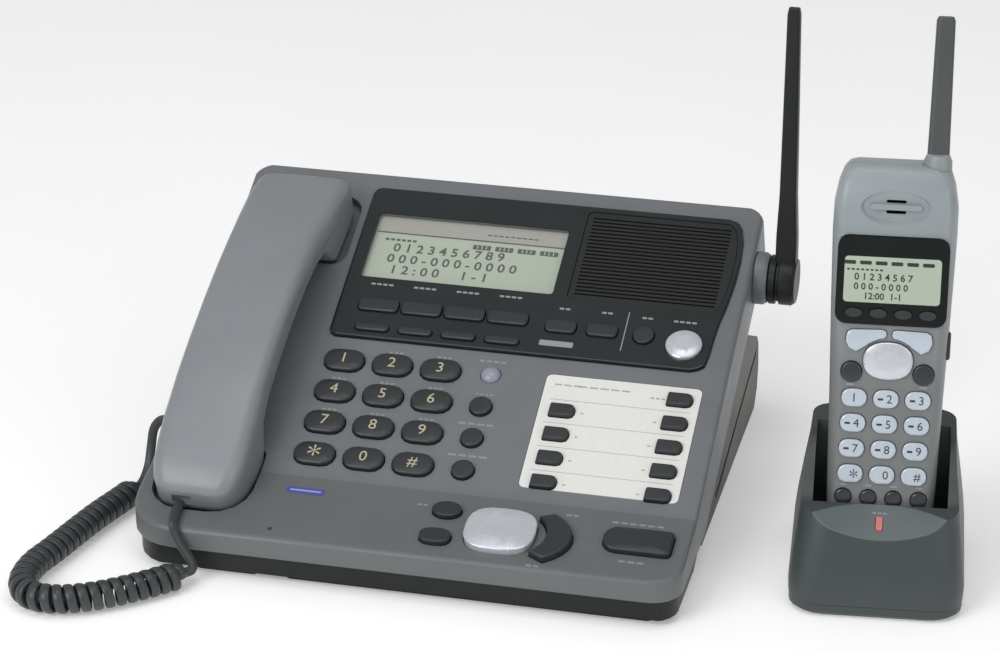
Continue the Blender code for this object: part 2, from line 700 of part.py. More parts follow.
def make_base_keys():
    for name, outline in dial_outlines().items():
        key(name, outline, KEY_RISE, CONSOLE, "key_plastic", low=-6.5)
    key_mat("side_keys", side_key_outlines(), KEY_RISE - 0.2, CONSOLE, "key_plastic",
            box_outline(SIDE_KEY_X, 32.9, 14.0, 54.0, 3, 2), -6.5, -4.9)
    web = box_outline(9.0, 101.0, 168.0, 24.0, 3, 2)
    key_mat("panel_keys", panel_key_outlines(), BEZEL_RISE + 1.5, CONSOLE, "key_plastic", web, -5.0, -3.2)
    message = circle(*MESSAGE_KEY[:2], MESSAGE_KEY[2], 28)
    key("message_key", message, BEZEL_RISE + 2.0, CONSOLE, "silver_plastic", 0.6, low=-4.0)
    frame_web = rounded(49.0, 4.5, 119.0, 75.0, 3, 2)
    key_mat("directory_keys", card_key_outlines(), 2.2, CONSOLE, "key_plastic", frame_web, -6.3, -4.9)
    dome = [(circle(*LAMP_DOME[:2], LAMP_DOME[2] * math.cos(math.radians(a)), 18),
             3.0 * math.sin(math.radians(a))) for a in (0, 20, 45, 70, 84)]
    dome = [(circle(*LAMP_DOME[:2], LAMP_DOME[2], 18), -5.0)] + dome
    thing("message_lamp", stacked(dome, CONSOLE), "silver_plastic", 50)

    found = apron_outlines()
    key_mat("front_small_keys", found["front_small_keys"], 2.6, APRON, "key_plastic",
            rounded(8.0, 7.0, 25.0, 39.0, 3, 2), -6.2, -4.6)
    key("navigator_key", found["navigator_key"][0], 3.6, APRON, "silver_plastic", 1.0, low=-5.6)
    key("answer_key", found["answer_key"][0], 3.0, APRON, "key_plastic", 0.4, low=-5.6)
    rocker = found["volume_rocker"][0]
    levels = [(rocker, -5.0), (rocker, 2.6), (grown(rocker, -0.35), 3.2), (grown(rocker, -0.9), 3.5)]
    thing("volume_rocker", stacked(levels, APRON), "key_plastic", 40)
    shank = rounded(-108.0, 151.0, -96.0, 165.0, 1.6, 3)
    plunger = [(shank, -12.0), (shank, -5.6), (grown(shank, -1.0), -4.5)]
    thing("hook_switch", stacked(plunger, CONSOLE), "black_plastic", 30)


# ---------------------------------------------------------------- corded handset
# station along the handset, half width, top, parting line, underside
STATIONS = (
    (-28.0, 11.0, 13.6, 8.8, 4.0),
    (-27.2, 14.5, 15.4, 8.9, 1.8),
    (-25.0, 17.6, 17.4, 9.2, -1.0),
    (-20.5, 20.3, 20.0, 10.0, -3.0),
    (-14.0, 22.0, 22.6, 11.4, BLOCK_BOTTOM),
    (-4.0, 22.7, 25.4, 13.0, BLOCK_BOTTOM),
    (8.0, 22.8, 28.6, 15.4, BLOCK_BOTTOM),
    (11.5, 22.7, 29.4, 16.2, 0.0),
    (18.0, 22.5, 30.8, 18.2, 12.0),
    (30.0, 22.2, 32.8, 22.4, 16.6),
    (52.0, 22.0, 34.6, 25.0, 18.6),
    (75.0, 22.0, 35.2, 25.8, 19.4),
    (98.0, 22.1, 34.8, 25.2, 18.8),
    (118.0, 22.5, 33.0, 22.6, 16.6),
    (129.0, 23.0, 31.4, 19.6, 12.4),
    (135.0, 23.4, 30.2, 17.6, 0.0),
    (138.5, 23.6, 29.4, 16.6, BLOCK_BOTTOM),
    (152.0, 24.2, 26.2, 13.6, BLOCK_BOTTOM),
    (162.0, 24.4, 23.4, 11.6, BLOCK_BOTTOM),
    (169.0, 24.0, 20.8, 10.4, -3.4),
    (173.5, 22.8, 18.4, 9.6, -2.4),
    (175.6, 21.0, 16.4, 9.2, -0.6),
    (176.2, 18.0, 14.4, 9.0, 1.6),
)


def handset_middle(s):
    """The handset's centre line, which lies a little askew on the cradle."""
    return GRIP_X - 2.2 + 0.018 * (s + 28)


def back_ring(s, half, top, part, shrink=0.0):
    """Cross-section of the outer shell: flat-topped, with a soft left edge and a chamfer facet along each side."""
    cx = handset_middle(s)
    half = half - shrink
    top = top - shrink
    rise = top - part
    edge = min(7.5, rise * 0.62)
    points = [(-half, 0.0), (-half, rise - edge)]
    for i in range(1, 5):
        turn = math.radians(22.5 * i)
        points.append((-half + edge * (1 - math.cos(turn)), rise - edge + edge * math.sin(turn)))
    points += [(-half * 0.3, rise + 0.5), (half * 0.3, rise + 0.5)]
    for i in range(4, 0, -1):
        turn = math.radians(22.5 * i)
        points.append((half - edge * (1 - math.cos(turn)), rise - edge + edge * math.sin(turn)))
    points += [(half, rise - edge), (half, 0.0)]
    return [(cx + x, s, part + z) for x, z in points][::-1]


def front_ring(s, half, part, under, shrink=0.0):
    cx = handset_middle(s)
    half = half - shrink
    deep = part - GAP - under - shrink
    edge = min(3.0, deep * 0.45)
    points = [(-half, deep), (-half, edge), (-half + edge * 0.3, edge * 0.3), (-half + edge, 0.0),
              (half - edge, 0.0), (half - edge * 0.3, edge * 0.3), (half, edge), (half, deep)]
    return [(cx + x, s, under + shrink + z) for x, z in points]


def make_corded_handset():
    place = CONSOLE
    rings = [back_ring(s, half, top, part) for s, half, top, part, _ in STATIONS]
    back = thing("handset_outer_shell", loft(rings, place), "handset_plastic", 35)
    socket = prism(rounded(PLUG_X - 4.4, -40, PLUG_X + 4.4, -15.5, 0.6, 2), PLUG_H - 2.9, PLUG_H + 2.9, place)
    cut(back, socket)
    wall = 2.0
    inner = []
    for s, half, top, part, _ in STATIONS[5:-3]:
        ring = back_ring(s, half, top, part, wall)
        inner.append([(x, y, z if z > part + 0.01 else part - 3) for x, y, z in ring])
    cut(back, loft(inner, place))

    rings = [front_ring(s, half, part, under) for s, half, _, part, under in STATIONS]
    front = thing("handset_inner_shell", loft(rings, place), "handset_plastic", 35)
    cut(front, socket)
    inner = [front_ring(s, half, part + 4, under, wall) for s, half, _, part, under in STATIONS[5:-3]]
    cut(front, loft(inner, place))
    for cx, cs in ((handset_middle(RECEIVER_S), RECEIVER_S), (handset_middle(MICROPHONE_S), MICROPHONE_S)):
        pockets = [prism(circle(cx, cs, 1.3, 6), -9, 1, place)]
        for i in range(6):
            turn = math.radians(60 * i)
            pockets.append(prism(circle(cx + 4.5 * math.cos(turn), cs + 4.5 * math.sin(turn), 1.3, 6), -9,
                                 1, place))
        cut(front, *pockets)
    receiver = circle(handset_middle(RECEIVER_S), RECEIVER_S, 11.5, 20)
    thing("handset_receiver", prism(receiver, -1.6, 6.0, place), "metal", 30)
    microphone = circle(handset_middle(MICROPHONE_S), MICROPHONE_S, 4.6, 16)
    thing("handset_microphone", prism(microphone, -1.6, 4.0, place), "metal", 30)


# ---------------------------------------------------------------- antenna of the base
def make_base_antenna():
    side = BASE @ frame((BASE_W / 2, PIVOT_Y, PIVOT_Z), (0, 1, 0), (0, 0, 1), (1, 0, 0))
    collar = stacked([(circle(0, 0, COLLAR_R, 28), GAP), (circle(0, 0, COLLAR_R, 28), 4.6),
                      (circle(0, 0, COLLAR_R - 1.2, 28), 6.6)], side)
    thing("antenna_collar", collar, "console_plastic", 40)
    hub_levels = [
        (circle(0, 0, HUB_R - 0.8, 28), 7.0), (circle(0, 0, HUB_R, 28), 7.6), (circle(0, 0, HUB_R, 28), 10.4),
        (circle(0, 0, HUB_R - 1.5, 28), 11.0), (circle(0, 0, HUB_R - 1.5, 28), 12.0),
        (circle(0, 0, HUB_R, 28), 12.6),
        (circle(0, 0, HUB_R, 28), 18.6), (circle(0, 0, HUB_R - 1.4, 28), 20.4),
    ]
    hub = thing("base_antenna", stacked(hub_levels, side), "black_plastic", 40)
    blade = []
    for z, wide, deep in ((2.0, 10.4, 9.0), (24.0, 10.2, 8.6), (46.0, 8.4, 7.6),
                          (ANTENNA_LENGTH - 3, 6.4, 5.2),
                          (ANTENNA_LENGTH, 5.4, 4.2)):
        middle = 15.0 - 1.2 * z / ANTENNA_LENGTH
        ring = rounded(middle - wide / 2, -deep / 2, middle + wide / 2, deep / 2, 1.2, 2)
        blade.append([(y, z, x) for x, y in ring])
    fuse(hub, loft(blade, side))


# ---------------------------------------------------------------- charger and cordless handset
# height, half width, front and back of the charger's outline
CHARGER_LEVELS = (
    (6.0, 39.6, -46.5, 46.5),
    (13.0, 39.9, -46.8, 46.6),
    (24.0, 38.8, -43.8, 45.0),
    (40.0, 36.6, -38.0, 42.2),
    (58.0, 34.0, -31.0, 38.6),
    (74.0, 32.6, -25.0, 35.0),
    (86.0, 31.4, -21.0, 32.4),
)
WELL_HALF = 30.6
CHARGER_HOLLOW = ((-5.0, 40.5, -47.5, 47.0), (7.0, 39.6, -46.5, 46.5), (8.6, 38.5, -45.0, 45.5))


def charger_ring(half, front, back, shrink=0.0):
    return rounded(-half + shrink, front + shrink, half - shrink, back - shrink, (14, 14, 10, 10), 5)


def body_half(v):
    """Half width of the cordless handset: widest at the display, narrower at the foot."""
    table = ((-24, 23.6), (0, 24.6), (60, 26.0), (100, 27.4), (125, 27.9), (140, 27.7), (156, 26.0))
    for (v0, h0), (v1, h1) in zip(table, table[1:]):
        if v <= v1:
            return h0 + (h1 - h0) * (v - v0) / (v1 - v0)
    return table[-1][1]


BODY_STATIONS = (
    (-24.0, -7.0, 0.3), (-23.0, -4.5, 0.55), (-20.0, -2.0, 0.8), (-14.0, 0.0, 1.0), (10.0, 0.0, 1.0),
    (50.0, 0.0, 1.0),
    (88.0, 0.0, 1.0), (125.0, 0.0, 1.0), (138.0, 0.0, 1.0), (147.0, -2.0, 0.92), (152.5, -4.5, 0.78),
    (155.2, -7.0, 0.58),
    (156.0, -9.5, 0.4),
)


def make_charger():
    levels = [(charger_ring(h, f, b), z) for z, h, f, b in CHARGER_LEVELS]
    housing = thing("charger_housing", stacked(levels, CHARGER), "charger_plastic", 35)
    slope = [
        (-60, 45.8), (-21.5, 45.8), (-17.0, 47.0), (-12.0, 53.0), (-4.0, 60.5), (4.0, 66.0), (10.0, 67.5),
        (60, 68.0), (60, 120), (-60, 120),
    ]
    cut(housing, prism(slope, -60, 60, CHARGER_SECTION))
    trough = [(x, x * x / (2 * SCOOP_R)) for x in range(-50, 51, 5)]
    cut(housing, prism(trough + [(50, 45), (-50, 45)], -60, 0.4, SCOOP))
    well = rounded(-WELL_HALF, BODY_BOTTOM - 1.2, WELL_HALF, 120, 6, 3)
    cut(housing, prism(well, -BODY_DEPTH - 1.5, 3.2, FACE))
    hollow = [(charger_ring(half, front, back, 2.4), z) for z, half, front, back in CHARGER_HOLLOW]
    cut(housing, stacked(hollow, CHARGER))
    cut(housing, prism(box_outline(0, 0, 3.6, 8.0, 1.0, 3), -2.0, 12, LAMP))
    contact = prism(rounded(-9.3, BODY_BOTTOM - 3.3, 9.3, BODY_BOTTOM + 5, 0.5, 2), -19.3, -12.7, FACE)
    cut(housing, contact)
    thing("charge_lamp", prism(box_outline(0, 0, 3.0, 7.4, 0.8, 3), -1.7, 0.5, LAMP), "lamp_plastic", 30)
    strip = prism(rounded(-9, BODY_BOTTOM - 3.0, 9, BODY_BOTTOM - 1.0, 0.4, 2), -19, -13, FACE)
    block = thing("charging_contacts", strip, "metal", 30)
    fuse(block,
         *[prism(rounded(u - 1.6, BODY_BOTTOM - 2.0, u + 1.6, BODY_BOTTOM - 0.35, 0.5, 2), -17.5, -14.5, FACE)
                  for u in (-6.0, 6.0)])
    foot = charger_ring(39.4, -46.2, 46.2)
    plate = [(charger_ring(37.8, -44.2, 44.4), 0.0), (foot, 2.0), (foot, 6.0 - GAP)]
    thing("charger_base_plate", stacked(plate, CHARGER), "charger_plastic", 35)


def face_ring(v, low, scale):
    """Cross-section of the cordless handset in u and w, rounded at its face and back."""
    half = body_half(v) * (0.62 + 0.38 * scale)
    face = low
    back = -BODY_DEPTH - low * 0.6
    shoulder = min(-5.0, face - 2.8)
    side = min(-9.0, face - 5.2)
    right = [
        (half * 0.88, back), (half * 0.985, back + 3.0), (half, back + 9.0), (half, side), (half - 0.7, shoulder),
        (half - 2.6, face - 1.6), (half - 5.0, face - 0.25), (half * 0.4, face),
    ]
    outline = right + [(-u, w) for u, w in reversed(right)]
    return [(u, v, w) for u, w in outline]


def nav_outline(more=0.0):
    return oval(NAV[0], NAV[1], 11.2 + more, 8.6 + more, 24, 2.3)


def call_key(side):
    """One of the two shaped keys beside the navigation key, hollowed on its inner lower corner."""
    arc = []
    for i in range(6):
        turn = math.radians(146 - 46 * i / 5)
        arc.append((NAV[0] + 12.3 * math.cos(turn), NAV[1] + 9.8 * math.sin(turn) + 0.8))
    outline = [(-19.2, 78.8), (-19.4, 76.4), (-18.0, 73.4), (-14.6, 71.6)] + arc[1:]
    outline += [(-1.2, 79.6), (-1.6, 81.4), (-3.2, 82.0), (-16.8, 81.6), (-18.6, 80.6)]
    if side > 0:
        return [(-u, v) for u, v in outline][::-1]
    return outline


def cordless_outlines():
    dial = [box_outline(u, v, 11.4, 8.2, 3.9, 4) for v in (50.0, 38.2, 26.3, 14.4) for u in (-14.35, 0.0,
                                                                                             14.35)]
    low = [circle(u, 3.4, 3.7, 14) for u in (-17.1, -5.7, 5.7, 17.1)]
    call = [circle(u, 62.0, 4.7, 16) for u in (-16.2, 16.2)]
    screen = [oval(u, 89.6, 4.0, 2.2, 10) for u in (-16.6, -5.6, 5.6, 16.6)]
    return dial + low, call, screen


def make_cordless():
    body = loft([face_ring(v, low, scale) for v, low, scale in BODY_STATIONS], FACE)
    front = thing("cordless_front_shell", body, "cordless_plastic", 35)
    cut(front, prism(rounded(-60, -60, 60, 200, 1, 1), -60, SPLIT + GAP / 2, FACE))
    hollow = rounded(-21.6, -18.0, 21.6, 146.0, 5, 3)
    cut(front, prism(hollow, SPLIT - 5, -3.4, FACE))
    pad, call, screen = cordless_outlines()
    cut(front, *[prism(grown(o, 0.35), -8, 9, FACE) for o in pad + call])
    cut(front, *[prism(grown(call_key(side), 0.3), -8, 9, FACE) for side in (-1, 1)])
    cut(front, prism(nav_outline(0.4), -8, 9, FACE))
    cut(front, prism(box_outline(0, 104.5, 50.6, 41.0, 5.3, 4), -1.2, 9, FACE))
    cut(front, *[prism(grown(o, 0.3), -8, 9, FACE) for o in screen])
    ear = [(oval(0, 138.0, 14.5, 7.0, 28), -1.7), (oval(0, 138.0, 16.4, 9.0, 28), 0.4),
           (oval(0, 138.0, 16.4, 9.0, 28), 4)]
    cut(front, stacked(ear, FACE))
    fuse(front, prism(box_outline(0, 138.0, 23.0, 2.4, 1.1, 3), -3.0, 0.0, FACE))
    cut(front, *[prism(box_outline(0, v, 9.0, 1.5, 0.7, 2), -8, 5, FACE) for v in (135.6, 140.4)])

    back = thing("cordless_back_shell", body, "cordless_plastic", 35)
    cut(back, prism(rounded(-60, -60, 60, 200, 1, 1), SPLIT - GAP / 2, 60, FACE))
    cut(back, prism(hollow, -BODY_DEPTH + 3, SPLIT + 5, FACE))
    cover = rounded(COVER[0], COVER[1], COVER[2], COVER[3], 3, 3)
    cut(back, prism(grown(cover, GAP), -60, -BODY_DEPTH + 6, FACE))
    piece = thing("cordless_battery_cover", prism(cover, -BODY_DEPTH, -BODY_DEPTH + 2.4, FACE),
                  "cordless_plastic", 30)
    ridges = [rounded(-9, v, 9, v + 1.2, 0.4, 1) for v in (104, 107, 110)]
    fuse(piece, *[prism(ridge, -BODY_DEPTH - 0.7, -BODY_DEPTH + 1, FACE) for ridge in ridges])
    thing("cordless_battery", prism(rounded(-17.0, 54.0, 17.0, 106.0, 4, 3), -26.6, -16.0, FACE),
          "key_plastic", 30)

    stub = FACE @ frame((STUB[0], 0, STUB[1]), (1, 0, 0), (0, 0, -1), (0, 1, 0))
    collar = [(circle(0, 0, 6.6, 20), 149.2), (circle(0, 0, 6.4, 20), 158.0), (circle(0, 0, 5.2, 20), 160.6)]
    well = prism(circle(0, 0, 6.9, 20), 148.9, 175, stub)
    cut(front, well)
    cut(back, well)
    aerial = thing("cordless_antenna", stacked(collar, stub), "charger_plastic", 40)
    blade = [(rounded(-5.0, -4.0, 5.0, 4.0, 2.4, 3), 159.0), (rounded(-4.8, -3.8, 4.8, 3.8, 2.3, 3), 172.0),
             (rounded(-4.2, -3.2, 4.2, 3.2, 2.0, 3), STUB_TOP - 1.6),
             (rounded(-3.4, -2.5, 3.4, 2.5, 1.8, 3), STUB_TOP)]
    fuse(aerial, stacked(blade, stub))

    panel = prism(box_outline(0, 104.5, 50.0, 40.4, 5.0, 4), -0.9, 1.1, FACE)
    screen_cover = thing("cordless_display_cover", panel, "bezel_plastic", 30)
    cut(screen_cover, *[prism(grown(o, 0.3), -8, 9, FACE) for o in screen])
    key_mat("cordless_keypad", pad, 1.5, FACE, "cordless_key_plastic",
            rounded(-21.2, -1.5, 21.2, 55.6, 2, 2), -5.6, -3.9)
    call_mat = key_mat("cordless_call_keys", call + [call_key(-1), call_key(1)], 1.5, FACE,
                       "cordless_key_plastic",
                       rounded(-21.2, 56.2, 21.2, 93.0, 2, 2), -5.6, -3.9)
    fuse(call_mat, *[prism(o, -5, 1.9, FACE) for o in screen])
    cut(call_mat, prism(nav_outline(1.5), -9, 5, FACE))
    key("cordless_nav_key", nav_outline(), 2.2, FACE, "silver_plastic", 0.5, low=-6.0)
    side = FACE @ frame((body_half(SIDE_KEY_V), 0, 0), (0, 0, -1), (0, 1, 0), (1, 0, 0))
    slot = box_outline(SIDE_KEY_DEPTH, SIDE_KEY_V, 5.4, 13.0, 2.2, 3)
    for shell in (front, back):
        cut(shell, prism(grown(slot, 0.3), -8, 5, side))
    thing("cordless_side_key", stacked([(slot, -3.6), (slot, 0.6), (grown(slot, -0.8), 1.2)], side),
          "key_plastic", 30)


# ---------------------------------------------------------------- curly cord
def smooth_route(points, step):
    """Points about a step apart on a smooth curve through the route's own points."""
    route = [Vector(p) for p in points]
    route = [route[0] * 2 - route[1]] + route + [route[-1] * 2 - route[-2]]
    fine = []
    for k in range(1, len(route) - 2):
        a, b, c, d = route[k - 1 : k + 3]
        for i in range(12):
            t = i / 12
            fine.append(0.5 * ((2 * b) + (c - a) * t + (2 * a - 5 * b + 4 * c - d) * t * t
                               + (3 * b - a - 3 * c + d) * t ** 3))
    fine.append(route[-2])
    lengths = [0.0]
    for p, q in zip(fine, fine[1:]):
        lengths.append(lengths[-1] + (q - p).length)
    count = max(2, round(lengths[-1] / step))
    result, k = [], 0
    for i in range(count + 1):
        wanted = lengths[-1] * i / count
        while k < len(fine) - 2 and lengths[k + 1] < wanted:
            k += 1
        part = (wanted - lengths[k]) / (lengths[k + 1] - lengths[k])
        result.append(fine[k].lerp(fine[k + 1], part))
    return result


def cord_piece(name, points, step, diameter, resolution):
    data = bpy.data.curves.new(name, "CURVE")
    data.dimensions = "3D"
    data.bevel_depth = diameter / 2 * MM
    data.bevel_resolution = resolution
    data.use_fill_caps = True
    route = smooth_route(points, step)
    spline = data.splines.new("POLY")
    spline.points.add(len(route) - 1)
    for point, place in zip(spline.points, route):
        point.co = (*(BASE @ place * MM), 1)
    obj = bpy.data.objects.new(name, data)
    data.materials.append(material("cord_plastic"))
    bpy.context.scene.collection.objects.link(obj)
    return obj


def make_cord():
    cord_piece("curly_cord_coil", [(x, y, COIL_Z) for x, y in COIL_ROUTE], 8.0, COIL_D, 2)
    cord_piece("handset_cord_tail", HANDSET_TAIL, 3.6, CORD_D, 2)
    cord_piece("base_cord_tail", BASE_TAIL, 5.0, CORD_D, 2)
    wall = BASE @ frame((-BASE_W / 2, JACK_Y, JACK_Z), (0, 1, 0), (0, 0, 1), (1, 0, 0))
    jack = thing("handset_jack", prism(box_outline(0, 0, 12.0, 10.6, 0.6, 2), 0.3, 11.5, wall),
                 "black_plastic", 30)
    cut(jack, prism(box_outline(0, 0, 8.2, 7.0, 0.4, 2), -5, 9.6, wall))
    thing("base_cord_plug", prism(box_outline(0, 0, 7.4, 6.2, 0.5, 2), -3.4, 9.0, wall), "clear_plastic", 30)
    plug = prism(rounded(PLUG_X - 3.8, -28.4, PLUG_X + 3.8, -16.4, 0.5, 2), PLUG_H - 2.4, PLUG_H + 2.4,
                 CONSOLE)
    thing("handset_cord_plug", plug, "clear_plastic", 30)


def build():
    clear_scene()
    make_base_pieces()
    make_panel()
    make_base_keys()
    make_corded_handset()
    make_base_antenna()
    make_charger()
    make_cordless()
    make_cord()


build()
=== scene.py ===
"""Looks of a four-line desk telephone with a curly-corded handset and a cordless handset in its charger.

Lengths are in millimetres in the working frames of the part, which are the base, its sloped console, its
front apron, the face of the cordless handset and the charger's crescent. They become metres when a mesh is
made.
"""

import json
import math

import bpy
from mathutils import Matrix, Vector, noise


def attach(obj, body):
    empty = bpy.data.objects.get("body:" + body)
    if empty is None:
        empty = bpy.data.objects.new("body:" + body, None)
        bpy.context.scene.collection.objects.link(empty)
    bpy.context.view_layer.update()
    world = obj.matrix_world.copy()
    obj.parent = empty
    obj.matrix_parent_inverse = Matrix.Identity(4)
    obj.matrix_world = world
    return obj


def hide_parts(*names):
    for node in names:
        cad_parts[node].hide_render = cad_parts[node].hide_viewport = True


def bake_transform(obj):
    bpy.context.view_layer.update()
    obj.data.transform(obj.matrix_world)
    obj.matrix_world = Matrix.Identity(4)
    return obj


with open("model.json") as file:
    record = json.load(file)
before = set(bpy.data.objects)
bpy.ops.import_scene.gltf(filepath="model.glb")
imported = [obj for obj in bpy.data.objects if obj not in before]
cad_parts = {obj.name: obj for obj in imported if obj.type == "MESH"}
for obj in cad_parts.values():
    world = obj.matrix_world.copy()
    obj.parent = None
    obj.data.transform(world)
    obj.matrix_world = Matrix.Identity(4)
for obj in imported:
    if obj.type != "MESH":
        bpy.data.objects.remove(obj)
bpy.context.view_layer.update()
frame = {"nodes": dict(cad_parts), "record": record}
NODES = frame["nodes"]
MM = 0.001
ROOT = "base_and_charger"
CORDLESS = "cordless_handset"

# ------------------------------------------------------------ working frames, as in the part
BASE_ORIGIN = (-61.305, -122.75, 0.0)
FOLD = (44.8, 34.4)
BACK = (224.7, 116.3)
LIP_TOP = 24.0
CHARGER_AT = (211.0, 79.4)
CHARGER_YAW = math.radians(6)
LEAN = math.radians(12)
FACE_Y = -18.6
FACE_Z = 44.0
SCOOP_TILT = math.radians(26)
SCOOP_R = 88.0
LAMP_AT = (0, -31.35, 41.04)
TILT = math.atan2(BACK[1] - FOLD[1], BACK[0] - FOLD[0])
APRON_TILT = math.atan2(FOLD[1] - LIP_TOP, FOLD[0])


def axes(origin, across, along, out):
    """The matrix of a frame with the given origin and directions."""
    made = Matrix.Identity(4)
    for column, axis in enumerate((across, along, out, origin)):
        for row in range(3):
            made[row][column] = axis[row]
    return made


def sloped(origin, tilt):
    """A frame on a face that rises to the back at the tilt."""
    along = (0, math.cos(tilt), math.sin(tilt))
    return axes(origin, (1, 0, 0), along, (0, -math.sin(tilt), math.cos(tilt)))


BASE = Matrix.Translation(BASE_ORIGIN)
CONSOLE = BASE @ sloped((0, *FOLD), TILT)
APRON = BASE @ sloped((0, 0, LIP_TOP), APRON_TILT)
CHARGER = BASE @ Matrix.Translation((*CHARGER_AT, 0)) @ Matrix.Rotation(CHARGER_YAW, 4, "Z")
FACE = CHARGER @ axes((0, FACE_Y, FACE_Z), (1, 0, 0), (0, math.sin(LEAN), math.cos(LEAN)),
                      (0, -math.cos(LEAN), math.sin(LEAN)))
LAMP = CHARGER @ sloped(LAMP_AT, SCOOP_TILT)

# ------------------------------------------------------------ camera
camera_data = bpy.data.cameras.new("camera")
camera_data.lens = 115.7
camera_data.sensor_width = 36
camera = bpy.data.objects.new("camera", camera_data)
bpy.context.scene.collection.objects.link(camera)
camera.location = (0.28446, -1.36174, 0.73261)
camera.rotation_euler = (math.radians(65.194), 0, math.radians(13.449))
bpy.context.scene.camera = camera


# ------------------------------------------------------------ materials
def scaled(colour, factor, lift=0.0):
    """The colour made lighter or darker, and no brighter than white."""
    return tuple(min(1, c * factor + lift) for c in colour)


def colour_output(node):
    return [socket for socket in node.outputs if socket.type == "RGBA"][0]


class Nodes:
    """A small helper for building one material's node tree around its Principled shader."""

    def __init__(self, name):
        self.material = bpy.data.materials.new(name)
        self.material.use_nodes = True
        self.tree = self.material.node_tree
        self.shader = self.tree.nodes["Principled BSDF"]
        self.place = self.tree.nodes.new("ShaderNodeTexCoord").outputs["Object"]

    def add(self, kind, **values):
        node = self.tree.nodes.new(kind)
        for key, value in values.items():
            setattr(node, key, value)
        return node

    def link(self, a, b):
        self.tree.links.new(a, b)

    def noise(self, scale, detail=2.0, rough=0.5, stretch=None):
        """A noise texture whose features are about 1/scale metres wide."""
        node = self.add("ShaderNodeTexNoise")
        node.inputs["Scale"].default_value = scale
        node.inputs["Detail"].default_value = detail
        node.inputs["Roughness"].default_value = rough
        source = self.place
        if stretch:
            mapping = self.add("ShaderNodeMapping")
            mapping.inputs["Scale"].default_value = stretch
            self.link(self.place, mapping.inputs["Vector"])
            source = mapping.outputs["Vector"]
        self.link(source, node.inputs["Vector"])
        return node.outputs["Fac"]

    def spread(self, value, low, high, start=0.3, end=0.7):
        """The value between start and end turned into low to high."""
        node = self.add("ShaderNodeMapRange")
        node.inputs["From Min"].default_value = start
        node.inputs["From Max"].default_value = end
        node.inputs["To Min"].default_value = low
        node.inputs["To Max"].default_value = high
        self.link(value, node.inputs["Value"])
        return node.outputs["Result"]

    def mix(self, factor, a, b):
        """The colour a turning into b as the factor goes from 0 to 1; either one may be a socket."""
        node = self.add("ShaderNodeMix", data_type="RGBA")
        # A Mix node has one set of sockets for each data type, so the colour ones are told by their type.
        colours = [socket for socket in node.inputs if socket.type == "RGBA"]
        for socket, value in zip((node.inputs["Factor"], *colours), (factor, a, b)):
            if isinstance(value, bpy.types.NodeSocket):
                self.link(value, socket)
            else:
                socket.default_value = (*value, 1)
        return colour_output(node)

    def band(self, value, low, high, soft):
        """1 where the value lies between low and high, fading over soft at each end."""
        rise = self.spread(value, 0.0, 1.0, low - soft, low)
        fall = self.spread(value, 1.0, 0.0, high, high + soft)
        return self.times(rise, fall)

    def times(self, a, b):
        node = self.add("ShaderNodeMath", operation="MULTIPLY")
        self.link(a, node.inputs[0])
        self.link(b, node.inputs[1])
        return node.outputs["Value"]

    def tint(self, mask, colour):
        """Multiplies the colour by another where the mask is 1."""
        node = self.add("ShaderNodeMix", data_type="RGBA", blend_type="MULTIPLY")
        before = self.shader.inputs["Base Color"].links[0].from_socket
        first, second = [socket for socket in node.inputs if socket.type == "RGBA"]
        self.link(mask, node.inputs["Factor"])
        self.link(before, first)
        second.default_value = (*colour, 1)
        self.colour(colour_output(node))

    def reach(self, place, axis):
        """How far a point lies along one axis of a working frame, in its millimetres."""
        direction = place.to_3x3().col[axis]
        dot = self.add("ShaderNodeVectorMath", operation="DOT_PRODUCT")
        self.link(self.place, dot.inputs[0])
        dot.inputs[1].default_value = direction / MM
        shifted = self.add("ShaderNodeMath", operation="SUBTRACT")
        self.link(dot.outputs["Value"], shifted.inputs[0])
        shifted.inputs[1].default_value = direction.dot(place.translation)
        return shifted.outputs["Value"]

    def bump(self, height, strength, distance):
        node = self.add("ShaderNodeBump")
        node.inputs["Strength"].default_value = strength
        node.inputs["Distance"].default_value = distance
        self.link(height, node.inputs["Height"])
        self.link(node.outputs["Normal"], self.shader.inputs["Normal"])

    def colour(self, socket):
        self.link(socket, self.shader.inputs["Base Color"])

    def set(self, **values):
        for key, value in values.items():
            self.shader.inputs[key.replace("_", " ")].default_value = value


def moulded(name, colour, rough=0.45, mottle=0.05, speck=0.06, grain=0.25, grain_scale=2600.0, smudge=0.06,
            coat=0.0, coat_rough=0.1, metallic=0.0, level=0.5):
    """Moulded plastic: a faint cloud of tone, pigment specks, an etched grain, and smudges in its gloss."""
    n = Nodes(name)
    tone = n.spread(n.noise(38.0, 3.0), 0.0, 1.0)
    cloud = n.mix(tone, scaled(colour, 1 - mottle), scaled(colour, 1 + mottle))
    dots = n.spread(n.noise(1900.0, 1.0), 0.0, 1.0, 0.52, 0.72)
    n.colour(n.mix(n.spread(dots, 0.0, speck, 0.0, 1.0), cloud, scaled(colour, 1.7, 0.03)))
    n.link(n.spread(n.noise(24.0, 4.0, 0.6), rough - smudge, rough + smudge), n.shader.inputs["Roughness"])
    n.bump(n.noise(grain_scale, 2.0), grain, 0.00006)
    n.set(Metallic=metallic, Coat_Weight=coat, Coat_Roughness=coat_rough, Specular_IOR_Level=level)
    return n


